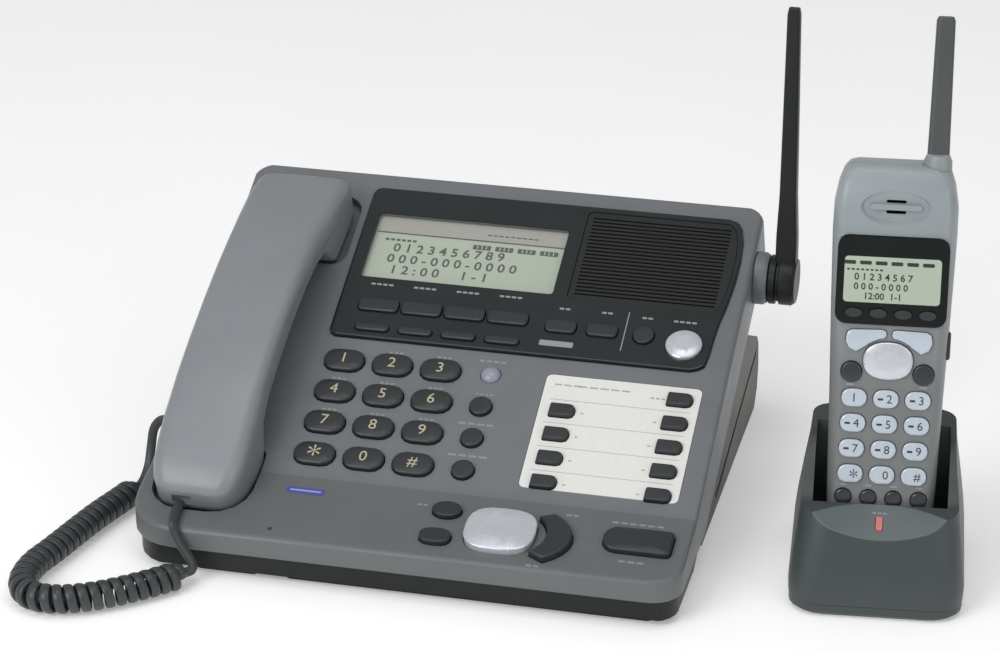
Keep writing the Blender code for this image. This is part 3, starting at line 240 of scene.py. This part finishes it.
def lacquered(name, colour, rough=0.28, flake=0.35, metallic=0.55, coat=0.3):
    """Silver lacquer on plastic: fine metal flakes under a clear coat."""
    n = Nodes(name)
    cell = n.add("ShaderNodeTexVoronoi")
    cell.inputs["Scale"].default_value = 5200.0
    n.link(n.place, cell.inputs["Vector"])
    grey = n.add("ShaderNodeRGBToBW")
    n.link(cell.outputs["Color"], grey.inputs["Color"])
    tone = n.mix(grey.outputs["Val"], scaled(colour, 1 - flake), scaled(colour, 1 + flake))
    cloud = n.spread(n.noise(60.0, 3.0), 0.0, 0.18)
    n.colour(n.mix(cloud, tone, scaled(colour, 0.72)))
    n.link(n.spread(n.noise(45.0, 4.0), rough - 0.06, rough + 0.08), n.shader.inputs["Roughness"])
    n.bump(n.noise(2200.0, 1.0), 0.12, 0.00004)
    n.set(Metallic=metallic, Coat_Weight=coat, Coat_Roughness=0.08)
    return n


def screen(name, colour, rough=0.35):
    """The grey-green of a liquid crystal panel, with the faint grid of its dots."""
    n = Nodes(name)
    cell = n.add("ShaderNodeTexWave", wave_type="BANDS", bands_direction="X")
    cell.inputs["Scale"].default_value = 600.0
    n.link(n.place, cell.inputs["Vector"])
    grid = n.spread(cell.outputs["Fac"], 0.0, 0.12, 0.0, 1.0)
    cloud = n.mix(n.spread(n.noise(16.0, 2.0), 0.0, 1.0), scaled(colour, 0.95), scaled(colour, 1.05))
    n.colour(n.mix(grid, cloud, scaled(colour, 0.8)))
    n.link(n.spread(n.noise(90.0), rough - 0.05, rough + 0.05), n.shader.inputs["Roughness"])
    n.bump(cell.outputs["Fac"], 0.05, 0.00003)
    return n


def printed(name, colour, rough=0.6, glow=0.0):
    """Ink or a stamped foil, with slightly uneven coverage."""
    n = Nodes(name)
    worn = n.spread(n.noise(900.0, 3.0), 0.0, 0.25, 0.4, 0.75)
    n.colour(n.mix(worn, colour, scaled(colour, 0.6)))
    n.link(n.spread(n.noise(400.0), rough - 0.08, rough + 0.08), n.shader.inputs["Roughness"])
    if glow:
        n.shader.inputs["Emission Color"].default_value = (*colour, 1)
        n.shader.inputs["Emission Strength"].default_value = glow
    return n


def clear(name, colour, rough=0.09, cover=0.06):
    """A thin clear window: mostly seen through, with the gloss of its face."""
    n = Nodes(name)
    n.colour(n.mix(n.spread(n.noise(30.0, 3.0), 0.0, 1.0), colour, scaled(colour, 0.94)))
    n.link(n.spread(n.noise(26.0, 4.0), rough - 0.02, rough + 0.05), n.shader.inputs["Roughness"])
    n.bump(n.noise(120.0), 0.04, 0.00005)
    n.set(Alpha=cover)
    return n


def paper(name, colour):
    """White card: short fibres in its tone and its surface."""
    n = Nodes(name)
    fibre = n.noise(700.0, 5.0, 0.7, (1.0, 0.3, 1.0))
    n.colour(n.mix(n.spread(fibre, 0.0, 1.0), colour, scaled(colour, 0.93)))
    n.link(n.spread(n.noise(300.0), 0.62, 0.78), n.shader.inputs["Roughness"])
    n.bump(fibre, 0.2, 0.00005)
    return n


def board(name):
    """A green circuit board with paler tracks."""
    n = Nodes(name)
    tracks = n.add("ShaderNodeTexBrick")
    tracks.inputs["Scale"].default_value = 190.0
    tracks.inputs["Color1"].default_value = (0.02, 0.16, 0.06, 1)
    tracks.inputs["Color2"].default_value = (0.025, 0.2, 0.08, 1)
    tracks.inputs["Mortar"].default_value = (0.06, 0.32, 0.13, 1)
    n.link(n.place, tracks.inputs["Vector"])
    n.colour(tracks.outputs["Color"])
    n.link(n.spread(n.noise(200.0), 0.3, 0.45), n.shader.inputs["Roughness"])
    n.bump(tracks.outputs["Fac"], 0.3, 0.0001)
    return n


def brushed(name, colour):
    """Metal with fine lines along one way."""
    n = Nodes(name)
    lines = n.noise(500.0, 3.0, 0.6, (1.0, 14.0, 14.0))
    n.colour(n.mix(n.spread(lines, 0.0, 1.0), scaled(colour, 0.8), colour))
    n.link(n.spread(lines, 0.25, 0.45), n.shader.inputs["Roughness"])
    n.bump(lines, 0.15, 0.00005)
    n.set(Metallic=0.9)
    return n


# For moulded plastic the numbers after the colour are its roughness, mottle, specks, grain and grain scale.
# For lacquer they are roughness, flakes, metallic and coat.
LOOKS = {
    "console_plastic": moulded("console_plastic", (0.155, 0.166, 0.178), 0.42, 0.04, 0.08, 0.3),
    "handset_plastic": moulded("handset_plastic", (0.225, 0.24, 0.256), 0.36, 0.035, 0.08, 0.18),
    "black_plastic": moulded("black_plastic", (0.007, 0.0095, 0.0095), 0.42, 0.1, 0.03, 0.3, level=0.35),
    "stand_plastic": moulded("stand_plastic", (0.062, 0.061, 0.055), 0.5, 0.06, 0.06, 0.5, 1500.0),
    "bezel_plastic": moulded("bezel_plastic", (0.014, 0.02, 0.02), 0.2, 0.1, 0.02, 0.05, 900.0, 0.05),
    "clear_plastic": clear("clear_plastic", (0.9, 0.93, 0.88)),
    "grille_plastic": moulded("grille_plastic", (0.0075, 0.0085, 0.009), 0.55, 0.1, 0.1, 0.5, 1700.0),
    "key_plastic": moulded("key_plastic", (0.021, 0.025, 0.027), 0.4, 0.08, 0.06, 0.35, 2000.0),
    "silver_plastic": lacquered("silver_plastic", (0.62, 0.64, 0.69), 0.3, 0.2, 0.4),
    "card_paper": paper("card_paper", (0.8, 0.795, 0.77)),
    "circuit_board": board("circuit_board"),
    "metal": brushed("metal", (0.62, 0.58, 0.48)),
    "rubber_feet": moulded("rubber_feet", (0.014, 0.014, 0.014), 0.72, 0.1, 0.1, 0.6, 1300.0),
    "cord_plastic": moulded("cord_plastic", (0.036, 0.043, 0.045), 0.4, 0.08, 0.06, 0.25, 1800.0),
    "charger_plastic": moulded("charger_plastic", (0.043, 0.053, 0.053), 0.45, 0.05, 0.08, 0.35, 2200.0),
    "cordless_plastic": moulded("cordless_plastic", (0.172, 0.18, 0.183), 0.38, 0.04, 0.08, 0.2),
    "cordless_key_plastic": lacquered("cordless_key_plastic", (0.44, 0.49, 0.55), 0.34, 0.15, 0.15, 0.2),
    "lamp_plastic": printed("lamp_plastic", (0.55, 0.16, 0.15), 0.3, 0.15),
    "lcd_glass": screen("lcd_glass", (0.42, 0.48, 0.385)),
}
DARK = (0.05, 0.053, 0.05)


def paint_apron_shade():
    """The apron and the lip, in front of the fold, are painted a darker grey than the console: painted shade
    for their smaller tilt towards the front light.
    """
    n = LOOKS["console_plastic"]
    n.tint(n.band(n.reach(BASE, 1), -5.0, FOLD[0] - 0.15, 0.3), (0.8, 0.795, 0.76))


def shade_crescent():
    """The hollowed facet under the charger's lip catches more light than the walls."""
    n = LOOKS["charger_plastic"]
    across, out = n.reach(LAMP, 0), n.reach(LAMP, 2)
    rise = n.add("ShaderNodeMath", operation="MULTIPLY")
    n.link(n.times(across, across), rise.inputs[0])
    rise.inputs[1].default_value = 1 / (2 * SCOOP_R)
    depth = n.add("ShaderNodeMath", operation="SUBTRACT")
    n.link(out, depth.inputs[0])
    n.link(rise.outputs["Value"], depth.inputs[1])
    near = n.band(depth.outputs["Value"], -0.35, 0.35, 0.2)
    n.tint(n.times(near, n.band(n.reach(LAMP, 1), -60.0, 10.9, 0.2)), (2.6, 2.55, 2.6))


def shade_cordless():
    """The cordless handset's face is bluish and lighter at the earpiece, and darker towards its foot."""
    n = LOOKS["cordless_plastic"]
    n.tint(n.spread(n.reach(FACE, 1), 0.0, 1.0, 55.0, 135.0), (1.62, 1.72, 1.77))


def dark_keys(name, below, above=None):
    """Silver keys, and dark ones below and above the two heights on the cordless handset's face."""
    n = lacquered(name, (0.5, 0.56, 0.63), 0.34, 0.15, 0.12, 0.2)
    height = n.reach(FACE, 1)
    n.tint(n.band(height, -50.0, below, 0.3), DARK)
    if above:
        n.tint(n.band(height, above, 300.0, 0.3), DARK)
    return n


def collared_antenna():
    """The cordless handset's aerial: dark above, with the handset's silver grey on its collar."""
    n = moulded("cordless_antenna_plastic", (0.062, 0.069, 0.069), 0.42, 0.06, 0.08, 0.3)
    n.tint(n.band(n.reach(FACE, 1), 100.0, 161.0, 0.3), (4.0, 3.9, 4.0))
    return n


paint_apron_shade()
shade_crescent()
shade_cordless()
OWN_LOOKS = {
    "cordless_display_cover": moulded("cordless_bezel_plastic", (0.0045, 0.0065, 0.0065), 0.24, 0.1, 0.02,
                                      0.05, 900.0, 0.05, level=0.3),
    "cordless_keypad": dark_keys("cordless_pad_keys", 9.0),
    "cordless_call_keys": dark_keys("cordless_upper_keys", 69.0, 85.0),
    "cordless_antenna": collared_antenna(),
    "message_lamp": moulded("message_lamp_plastic", (0.28, 0.29, 0.36), 0.22, 0.05, 0.02, 0.1),
}
INK = {
    "beige": printed("ink_beige", (0.5, 0.45, 0.31)),
    "pale": printed("ink_pale", (0.3, 0.32, 0.33)),
    "grey": printed("ink_grey", (0.27, 0.28, 0.29)),
    "dark": printed("ink_dark", (0.03, 0.036, 0.04)),
    "crystal": printed("ink_crystal", (0.02, 0.028, 0.024)),
    "blue": printed("ink_blue", (0.07, 0.09, 0.34)),
    "strip": printed("strip_beige", (0.36, 0.35, 0.325)),
    "glass": screen("cordless_lcd", (0.42, 0.48, 0.39)),
    "foil": printed("badge_foil", (0.33, 0.37, 0.6)),
    "card": printed("ink_card", (0.42, 0.42, 0.42)),
}


def smoothing_group(angle):
    """Geometry nodes that join split points and shade a mesh smooth, but not across edges over the angle."""
    group = bpy.data.node_groups.new("smooth_shading", "GeometryNodeTree")
    group.interface.new_socket("Geometry", in_out="INPUT", socket_type="NodeSocketGeometry")
    group.interface.new_socket("Geometry", in_out="OUTPUT", socket_type="NodeSocketGeometry")
    start = group.nodes.new("NodeGroupInput")
    end = group.nodes.new("NodeGroupOutput")
    plain = group.nodes.new("GeometryNodeRemoveAttribute")
    plain.inputs["Name"].default_value = "custom_normal"
    merge = group.nodes.new("GeometryNodeMergeByDistance")
    merge.inputs["Distance"].default_value = 2e-6
    turn = group.nodes.new("GeometryNodeInputMeshEdgeAngle")
    gentle = group.nodes.new("FunctionNodeCompare")
    gentle.operation = "LESS_THAN"
    gentle.inputs[1].default_value = angle
    group.links.new(turn.outputs["Unsigned Angle"], gentle.inputs[0])
    faces = group.nodes.new("GeometryNodeSetShadeSmooth")
    edges = group.nodes.new("GeometryNodeSetShadeSmooth")
    edges.domain = "EDGE"
    group.links.new(gentle.outputs["Result"], edges.inputs["Shade Smooth"])
    for a, b in ((start, plain), (plain, merge), (merge, faces), (faces, edges), (edges, end)):
        group.links.new(a.outputs[0], b.inputs[0])
    return group


SMOOTH = smoothing_group(math.radians(38))
CAP_ANGLE = math.radians(50)
CAP_EDGE = {  # metres
    "cordless_keypad": 0.0004,
    "cordless_call_keys": 0.0004,
    "panel_keys": 0.0003,
    "directory_keys": 0.0003,
}
packed = {row["node"]: row["material_slot"] for row in frame["record"]["subparts"]}
for name, node in NODES.items():
    node.data.materials.clear()
    node.data.materials.append(OWN_LOOKS.get(name, LOOKS[packed[name]]).material)
    shading = node.modifiers.new("smooth_shading", "NODES")
    shading.node_group = SMOOTH
    if name in CAP_EDGE:
        caps = node.modifiers.new("cap_edges", "BEVEL")
        caps.limit_method = "ANGLE"
        caps.angle_limit = CAP_ANGLE
        caps.width = CAP_EDGE[name]
        caps.segments = 3
    weights = node.modifiers.new("weighted_normals", "WEIGHTED_NORMAL")
    weights.keep_sharp = True


# ------------------------------------------------------------ meshes
FIGURE_THICK = 0.06
SHARP = math.radians(40)


def mesh_piece(name, points, faces, look, body, smooth=False):
    """A visible piece that rides a body. With no body, it rides none."""
    mesh = bpy.data.meshes.new(name)
    mesh.from_pydata([tuple(p) for p in points], [], faces)
    mesh.update()
    if smooth:
        mesh.shade_smooth()
        mesh.set_sharp_from_angle(angle=SHARP)
    obj = bpy.data.objects.new(name, mesh)
    bpy.context.scene.collection.objects.link(obj)
    mesh.materials.append(look.material)
    if body:
        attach(obj, body)
    return obj


def rounded(x0, y0, x1, y1, radius, steps=4):
    """The outline of a rectangle with round corners."""
    left, right, low, high = x0 + radius, x1 - radius, y0 + radius, y1 - radius
    points = []
    for cx, cy, start in ((left, low, 180), (right, low, 270), (right, high, 0), (left, high, 90)):
        for i in range(steps + 1):
            turn = math.radians(start + 90 * i / steps)
            points.append((cx + radius * math.cos(turn), cy + radius * math.sin(turn)))
    return points


def centred(cx, cy, w, h, radius, steps=3):
    return rounded(cx - w / 2, cy - h / 2, cx + w / 2, cy + h / 2, radius, steps)


def dashes(x, y, count, pitch, wide, tall, radius=0.2):
    """A row of short bars that stand for lettering or segments. The first is centred on x and y."""
    return [centred(x + pitch * i, y, wide, tall, radius, 1) for i in range(count)]


def circle(cx, cy, r, n):
    turns = [2 * math.pi * i / n for i in range(n)]
    return [(cx + r * math.cos(turn), cy + r * math.sin(turn)) for turn in turns]


def inlays(name, outlines, low, high, place, look, body):
    """Thin closed plates, all in one piece, such as printing or labels."""
    points, faces = [], []
    for outline in outlines:
        n = len(outline)
        base = len(points)
        points += [place @ Vector((x, y, low)) * MM for x, y in outline]
        points += [place @ Vector((x, y, high)) * MM for x, y in outline]
        faces.append(tuple(base + i for i in range(n))[::-1])
        faces.append(tuple(base + n + i for i in range(n)))
        faces += [(base + i, base + (i + 1) % n, base + n + (i + 1) % n, base + n + i) for i in range(n)]
    return mesh_piece(name, points, faces, look, body)


def figures(name, marks, height, place, look, body, heavy=0.0):
    """Plain numerals as one thin mesh: marks are (text, x, y, size), centred on x and y."""
    points, faces = [], []
    for text, x, y, size in marks:
        curve = bpy.data.curves.new("numeral", "FONT")
        curve.body = text
        curve.size = size
        curve.align_x = "CENTER"
        curve.align_y = "CENTER"
        curve.resolution_u = 3
        curve.extrude = FIGURE_THICK / 2
        curve.offset = heavy
        made = bpy.data.objects.new("numeral", curve)
        bpy.context.scene.collection.objects.link(made)
        bpy.context.view_layer.update()
        mesh = bpy.data.meshes.new_from_object(made.evaluated_get(bpy.context.evaluated_depsgraph_get()))
        base = len(points)
        points += [place @ (Vector((v.co.x + x, v.co.y + y, v.co.z + height))) * MM for v in mesh.vertices]
        faces += [tuple(base + i for i in p.vertices) for p in mesh.polygons]
        bpy.data.objects.remove(made)
        bpy.data.curves.remove(curve)
        bpy.data.meshes.remove(mesh)
    return mesh_piece(name, points, faces, look, body)


# ------------------------------------------------------------ curly cord
COIL_D = 13.6
COIL_Z = 7.1
CORD_WIDE = 4.6
CORD_THICK = 2.7
PITCH = 5.3
SPLINE_PARTS = 24
STEPS_PER_TURN = 18
RAMP_TURNS = 1.1  # over which a coil opens at either end
WOBBLE = 0.012
SECTION_SIDES = 12
SECTION_POWER = 0.75  # under 1 is squarer than an ellipse
COIL_ROUTE = (
    (-97.4, -9.8), (-113.0, -26.0), (-130.7, -40.0), (-147.0, -47.0), (-160.0, -45.5), (-167.2, -35.5),
    (-168.4, -20.0), (-164.4, -2.6), (-156.8, 30.8), (-150.4, 52.4), (-147.2, 65.0),
)
HANDSET_TAIL = (
    (-107.0, 14.6, 30.4), (-107.0, 9.5, 29.3), (-106.6, 4.2, 28.0), (-105.2, -1.4, 25.8),
    (-102.4, -4.0, 20.6), (-98.4, -4.8, 14.6), (-95.4, -5.6, 10.0), (-95.2, -7.0, 7.8), (-96.9, -9.3, 7.1),
)
BASE_TAIL = (
    (-147.0, 65.6, 7.1), (-145.9, 71.0, 8.4), (-145.2, 77.5, 13.6), (-145.0, 82.0, 22.0),
    (-144.0, 84.0, 30.0), (-140.4, 84.2, 35.0), (-135.6, 84.0, 36.0),
)


def smooth_route(points, step):
    """Points about a step apart on the Catmull-Rom curve through the given ones."""
    route = [Vector(p) for p in points]
    route = [route[0] * 2 - route[1]] + route + [route[-1] * 2 - route[-2]]
    fine = []
    for k in range(1, len(route) - 2):
        a, b, c, d = route[k - 1 : k + 3]
        for i in range(SPLINE_PARTS):
            t = i / SPLINE_PARTS
            fine.append(0.5 * ((2 * b) + (c - a) * t + (2 * a - 5 * b + 4 * c - d) * t * t
                               + (3 * b - a - 3 * c + d) * t ** 3))
    fine.append(route[-2])
    lengths = [0.0]
    for p, q in zip(fine, fine[1:]):
        lengths.append(lengths[-1] + (q - p).length)
    count = max(2, round(lengths[-1] / step))
    result, k = [], 0
    for i in range(count + 1):
        wanted = lengths[-1] * i / count
        while k < len(fine) - 2 and lengths[k + 1] < wanted:
            k += 1
        result.append(fine[k].lerp(fine[k + 1], (wanted - lengths[k]) / (lengths[k + 1] - lengths[k])))
    return result


def make_curly_cord():
    """One flat cord: up out of the jack, in coils along the desk, and up to the handset's plug."""
    lead_in = [Vector(p) for p in BASE_TAIL[:0:-1]]
    middle = [Vector((x, y, COIL_Z)) for x, y in reversed(COIL_ROUTE)]
    lead_out = [Vector(p) for p in HANDSET_TAIL[-2::-1]]
    step = PITCH / STEPS_PER_TURN
    spine = smooth_route(lead_in + middle + lead_out, step)
    start = min(range(len(spine)), key=lambda i: (spine[i] - middle[0]).length)
    end = min(range(len(spine)), key=lambda i: (spine[i] - middle[-1]).length)
    reach = COIL_D / 2 - CORD_THICK / 2
    ramp = int(PITCH * RAMP_TURNS / step)
    up = Vector((0, 0, 1))
    side = (spine[1] - spine[0]).cross(up).normalized()
    path, outward = [], []
    for i, point in enumerate(spine):
        ahead = spine[min(i + 1, len(spine) - 1)] - spine[max(i - 1, 0)]
        ahead.normalize()
        side = (side - ahead * side.dot(ahead)).normalized()
        other = ahead.cross(side)
        inside = min(1.0, max(0.0, (i - start) / ramp), max(0.0, (end - i) / ramp))
        inside = inside * inside * (3 - 2 * inside)
        turn = 2 * math.pi * (min(max(i, start), end) - start) * step / PITCH
        radial = side * math.cos(turn) + other * math.sin(turn)
        wobble = 1 + WOBBLE * noise.noise(Vector((i * 0.01, 3.1, 0.7)))
        path.append(point + radial * reach * inside * wobble)
        outward.append(radial)
    points, faces = [], []
    sides = SECTION_SIDES
    for i, point in enumerate(path):
        ahead = (path[min(i + 1, len(path) - 1)] - path[max(i - 1, 0)]).normalized()
        thin = (outward[i] - ahead * outward[i].dot(ahead)).normalized()
        wide = ahead.cross(thin)
        for k in range(sides):
            turn = 2 * math.pi * k / sides
            c, s = math.cos(turn), math.sin(turn)
            w = math.copysign(abs(c) ** SECTION_POWER, c) * CORD_WIDE / 2
            t = math.copysign(abs(s) ** SECTION_POWER, s) * CORD_THICK / 2
            points.append(BASE @ (point + wide * w + thin * t) * MM)
    rings = len(path)
    faces.append(tuple(range(sides)))
    for i in range(rings - 1):
        for k in range(sides):
            j = (k + 1) % sides
            faces.append((i * sides + k, (i + 1) * sides + k, (i + 1) * sides + j, i * sides + j))
    faces.append(tuple(range((rings - 1) * sides, rings * sides))[::-1])
    cord = mesh_piece("curly_cord", points, faces, LOOKS["cord_plastic"], None, smooth=True)
    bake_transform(cord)
    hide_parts("curly_cord_coil", "handset_cord_tail", "base_cord_tail")


make_curly_cord()

# ------------------------------------------------------------ printing on the base
DIAL_X = (-54.2, -30.2, -6.2)
DIAL_S = (71.8, 52.35, 32.9, 13.45)
DIAL_NAMES = (("1", "2", "3"), ("4", "5", "6"), ("7", "8", "9"), ("star", "0", "hash"))
SIGNS = {"star": "*", "hash": "#"}
NUMERAL_SIZE = 8.4
STAR_SIZE, STAR_DROP = 15.0, 2.6  # the star is a small raised sign in the font
KEY_TOP_H = 2.98
BEZEL_TOP_H = 1.8

# the lower and upper height of each kind of layer over the face that it lies on
PRINT = (0.01, 0.07)
THIN_PRINT = (0.01, 0.06)
HOLE = (0.01, 0.08)
PLATE = (0.01, 0.12)
ON_PLATE = (0.12, 0.18)


def over(height, layer):
    return height + layer[0], height + layer[1]


for row, s in enumerate(DIAL_S):
    for column, x in enumerate(DIAL_X):
        word = DIAL_NAMES[row][column]
        star = word == "star"
        size, drop = (STAR_SIZE, STAR_DROP) if star else (NUMERAL_SIZE, 0.0)
        mark = (SIGNS.get(word, word), x, s - drop, size)
        figures(f"numeral_{word}", [mark], KEY_TOP_H, CONSOLE, INK["beige"], f"dial_key_{word}")

# three dashes for the letters over each numeral from 2 to 9
bars = []
for row, s in enumerate(DIAL_S[:3]):
    for column, x in enumerate(DIAL_X):
        if row or column:
            bars += dashes(x - 2.6, s + 8.7, 3, 2.6, 1.7, 1.3)
# a label over each side key, as its height on the console and its width
SIDE_LABEL_X = 18.0
for s, wide in ((60.6, 9.0), (42.0, 18.0), (22.6, 20.0)):
    pitch = wide / 4
    bars += dashes(SIDE_LABEL_X - wide / 2 + pitch / 2, s, 4, pitch, pitch - 1.0, 1.3)
bars += dashes(12.5, 81.2, 4, 3.4, 2.6, 1.3)
inlays("console_marks", bars, *PRINT, CONSOLE, INK["grey"], ROOT)

# labels over the line keys and the function keys, a rule before the round key, and a pale tab
LINE_KEY_X = (-45.6, -23.9, -2.2, 19.5)
DASH_PITCH = 3.0
bars = []
for x in LINE_KEY_X:
    bars += dashes(x - 2 * DASH_PITCH, 121.6, 4, DASH_PITCH, 2.3, 1.2)
for x, s, count in ((45.9, 117.4, 2), (67.0, 117.4, 2), (87.0, 116.6, 2), (105.5, 116.4, 4)):
    bars += dashes(x - (count - 1) * DASH_PITCH / 2, s, count, DASH_PITCH, 2.3, 1.2)
bars.append(centred(77.6, 107.0, 0.5, 25.0, 0.2, 1))
bars.append(centred(46.0, 94.9, 16.6, 3.4, 0.6, 2))
inlays("panel_marks", bars, *over(BEZEL_TOP_H, PRINT), CONSOLE, INK["pale"], ROOT)

# labels round the answer key, the volume rocker and the small keys
BADGE_AT = (-52.4, 36.0)
bars = dashes(95.1, 38.4, 6, 4.2, 3.2, 1.2)
bars += dashes(103.1, 12.6, 3, 4.2, 3.2, 1.2)
bars += dashes(73.0, 39.7, 2, 3.4, 2.6, 1.2)
bars += dashes(62.0, 2.8, 2, 3.4, 2.6, 1.2)
bars += dashes(3.0, 35.6, 2, 2.8, 2.1, 1.1)
inlays("apron_marks", bars, *PRINT, APRON, INK["grey"], ROOT)
inlays("badge_plate", [centred(*BADGE_AT, 18.6, 4.6, 1.6, 4)], *PLATE, APRON, INK["blue"], ROOT)
inlays("badge_stripe", [centred(*BADGE_AT, 15.2, 1.1, 0.5, 2)], *ON_PLATE, APRON, INK["foil"], ROOT)
# the speaking hole is a dark disc on the apron: painted shade standing for the unlit inside of the hole
inlays("speaking_hole_shade", [circle(-61.5, 7.4, 1.1, 16)], *HOLE, APRON, INK["dark"], ROOT)

# ------------------------------------------------------------ the directory card
CARD_PITCH = 14.46
lines = [centred(83.2, s, 68.0, 0.28, 0.1, 1) for s in (62.2, 47.9, 33.4, 18.9)]
lines += dashes(64.0, 71.4, 5, 5.2, 4.2, 0.9)
lines += dashes(52.0, 71.4, 3, 4.6, 3.6, 0.9)
lines += dashes(98.0, 69.0, 3, 2.6, 1.8, 1.0)
for i in range(4):
    lines.append(centred(66.6, 55.2 - CARD_PITCH * i, 1.6, 0.8, 0.2, 1))
    lines.append(centred(101.6, 54.5 - CARD_PITCH * i, 1.6, 0.8, 0.2, 1))
inlays("card_lines", lines, *THIN_PRINT, CONSOLE, INK["card"], ROOT)

# ------------------------------------------------------------ displays
SHEET_H = -1.38
STRIP = over(SHEET_H, (0.0, 0.3))
RULE = over(SHEET_H, (0.0, 0.32))
ON_STRIP = over(SHEET_H, (0.3, 0.36))
SEGMENT = over(SHEET_H, (0.0, 0.1))
SEGMENT_GAP = over(SHEET_H, (0.1, 0.16))
SEGMENT_S = 154.6
BLOCK_PITCH = 11.4
BASE_LINES = (
    ("0 1 2 3 4 5 6 7 8 9", -20.0, 149.2, 7.6),
    ("0 0 0 - 0 0 0 - 0 0 0 0", -17.0, 141.9, 7.6),
    ("1 2 : 0 0     1 - 1", -22.0, 134.6, 7.6),
)
inlays("display_strip", [rounded(-59.0, 159.4, 37.3, 168.7, 0.6, 2)], *STRIP, CONSOLE, INK["strip"], ROOT)
inlays("display_rule", [centred(-11.0, 159.0, 96.0, 0.5, 0.2, 1)], *RULE, CONSOLE, INK["dark"], ROOT)
inlays("display_strip_marks", dashes(-2.0, 163.0, 9, 3.0, 2.3, 0.8), *ON_STRIP, CONSOLE, INK["dark"], ROOT)
segments = dashes(-4.2, SEGMENT_S, 4, BLOCK_PITCH, 9.2, 3.0, 0.4)
segments += dashes(-52.8, SEGMENT_S, 6, 2.8, 2.0, 1.4, 0.25)
inlays("display_segments", segments, *SEGMENT, CONSOLE, INK["crystal"], ROOT)
gaps = []
for i in range(4):
    gaps += dashes(-6.4 + BLOCK_PITCH * i, SEGMENT_S, 3, 2.2, 0.5, 2.2, 0.1)
inlays("display_segment_gaps", gaps, *SEGMENT_GAP, CONSOLE, LOOKS["lcd_glass"], ROOT)
figures("display_figures", BASE_LINES, SHEET_H + 0.06, CONSOLE, INK["crystal"], ROOT, heavy=0.14)

BEZEL_W = 1.1
CORDLESS_LINES = (
    ("0 1 2 3 4 5 6 7", -4.0, 106.0, 4.4),
    ("0 0 0 - 0 0 0 0", -5.0, 101.6, 4.2),
    ("12:00  1-1", -4.0, 97.2, 4.2),
)
inlays("cordless_lcd_panel", [rounded(-21.6, 94.4, 21.6, 115.4, 1.6, 3)], *over(BEZEL_W, PLATE), FACE,
       INK["glass"], CORDLESS)
blocks = dashes(-19.2, 112.6, 6, 7.0, 5.2, 1.7, 0.3)
blocks += dashes(-19.8, 109.4, 8, 2.1, 1.3, 0.8)
inlays("cordless_lcd_segments", blocks, *over(BEZEL_W, ON_PLATE), FACE, INK["crystal"], CORDLESS)
figures("cordless_lcd_figures", CORDLESS_LINES, BEZEL_W + 0.15, FACE, INK["crystal"], CORDLESS, heavy=0.07)

# ------------------------------------------------------------ printing on the cordless handset
PAD_U = (-14.35, 0.0, 14.35)
PAD_V = (50.0, 38.2, 26.3, 14.4)
CAP_W = 1.5
SHIFT = 1.6  # numerals stand right of the letters, and the star below its place in the font
marks = []
bars = []
for row, v in enumerate(PAD_V):
    for column, u in enumerate(PAD_U):
        word = DIAL_NAMES[row][column]
        star = word == "star"
        right, down = (SHIFT if row or column else 0.0), (SHIFT if star else 0.0)
        marks.append((SIGNS.get(word, word), u + right, v - down, 9.0 if star else 5.6))
        if row < 3 and (row or column):
            bars.append(centred(u - 2.4, v, 2.6, 1.0, 0.3, 1))
figures("cordless_numerals", marks, CAP_W + 0.05, FACE, INK["dark"], "cordless_keypad")
inlays("cordless_key_letters", bars, *over(CAP_W, THIN_PRINT), FACE, INK["dark"], "cordless_keypad")
# labels under the two round keys beside the navigation key, and over the four at the foot
bars = [centred(u, 56.0, 3.6, 0.9, 0.2, 1) for u in (-16.4, 16.4)]
bars += [centred(u, 9.0, 3.0, 0.8, 0.2, 1) for u in (-17.1, -5.7, 5.7, 17.1)]
inlays("cordless_marks", bars, *THIN_PRINT, FACE, INK["pale"], CORDLESS)

# ------------------------------------------------------------ charger
inlays("charge_mark", dashes(-2.4, 6.0, 3, 2.4, 1.8, 1.0), 0.06, 0.12, LAMP, INK["grey"], ROOT)

# ------------------------------------------------------------ floor and light
FLOOR_CORNERS = ((-6, -6), (6, -6), (6, 8), (-6, 8))  # metres
FLOOR_Z = -0.0004
floor = bpy.data.objects.new("floor", bpy.data.meshes.new("floor"))
floor.data.from_pydata([(x, y, FLOOR_Z) for x, y in FLOOR_CORNERS], [], [(0, 1, 2, 3)])
bpy.context.scene.collection.objects.link(floor)
ground = Nodes("floor")
cloud = ground.spread(ground.noise(6.0, 3.0), 0.0, 1.0)
ground.colour(ground.mix(cloud, (0.94, 0.94, 0.94), (0.92, 0.92, 0.92)))
ground.set(Roughness=0.7, Emission_Color=(1, 1, 1, 1), Emission_Strength=0.24)
floor.data.materials.append(ground.material)

world = bpy.data.worlds.new("studio")
bpy.context.scene.world = world
world.use_nodes = True
sky = world.node_tree.nodes["Background"]
sky.inputs["Color"].default_value = (1, 1, 1, 1)
sky.inputs["Strength"].default_value = 0.42


def softbox(name, place, target, wide, tall, watts):
    """A rectangular studio light. Its place and size are in metres."""
    data = bpy.data.lights.new(name, "AREA")
    data.shape = "RECTANGLE"
    data.size = wide
    data.size_y = tall
    data.energy = watts
    lamp = bpy.data.objects.new(name, data)
    bpy.context.scene.collection.objects.link(lamp)
    lamp.location = place
    lamp.rotation_euler = (Vector(target) - Vector(place)).to_track_quat("-Z", "Y").to_euler()


softbox("key_light", (-0.8, -1.35, 1.1), (0, 0, 0.05), 1.0, 0.9, 14)
softbox("top_light", (0.0, -0.35, 1.7), (0, 0.05, 0.05), 1.2, 0.8, 6)
softbox("fill_light", (1.3, -0.9, 0.8), (0, 0, 0.08), 0.9, 0.9, 3.5)
bpy.context.scene.view_settings.view_transform = "Standard"
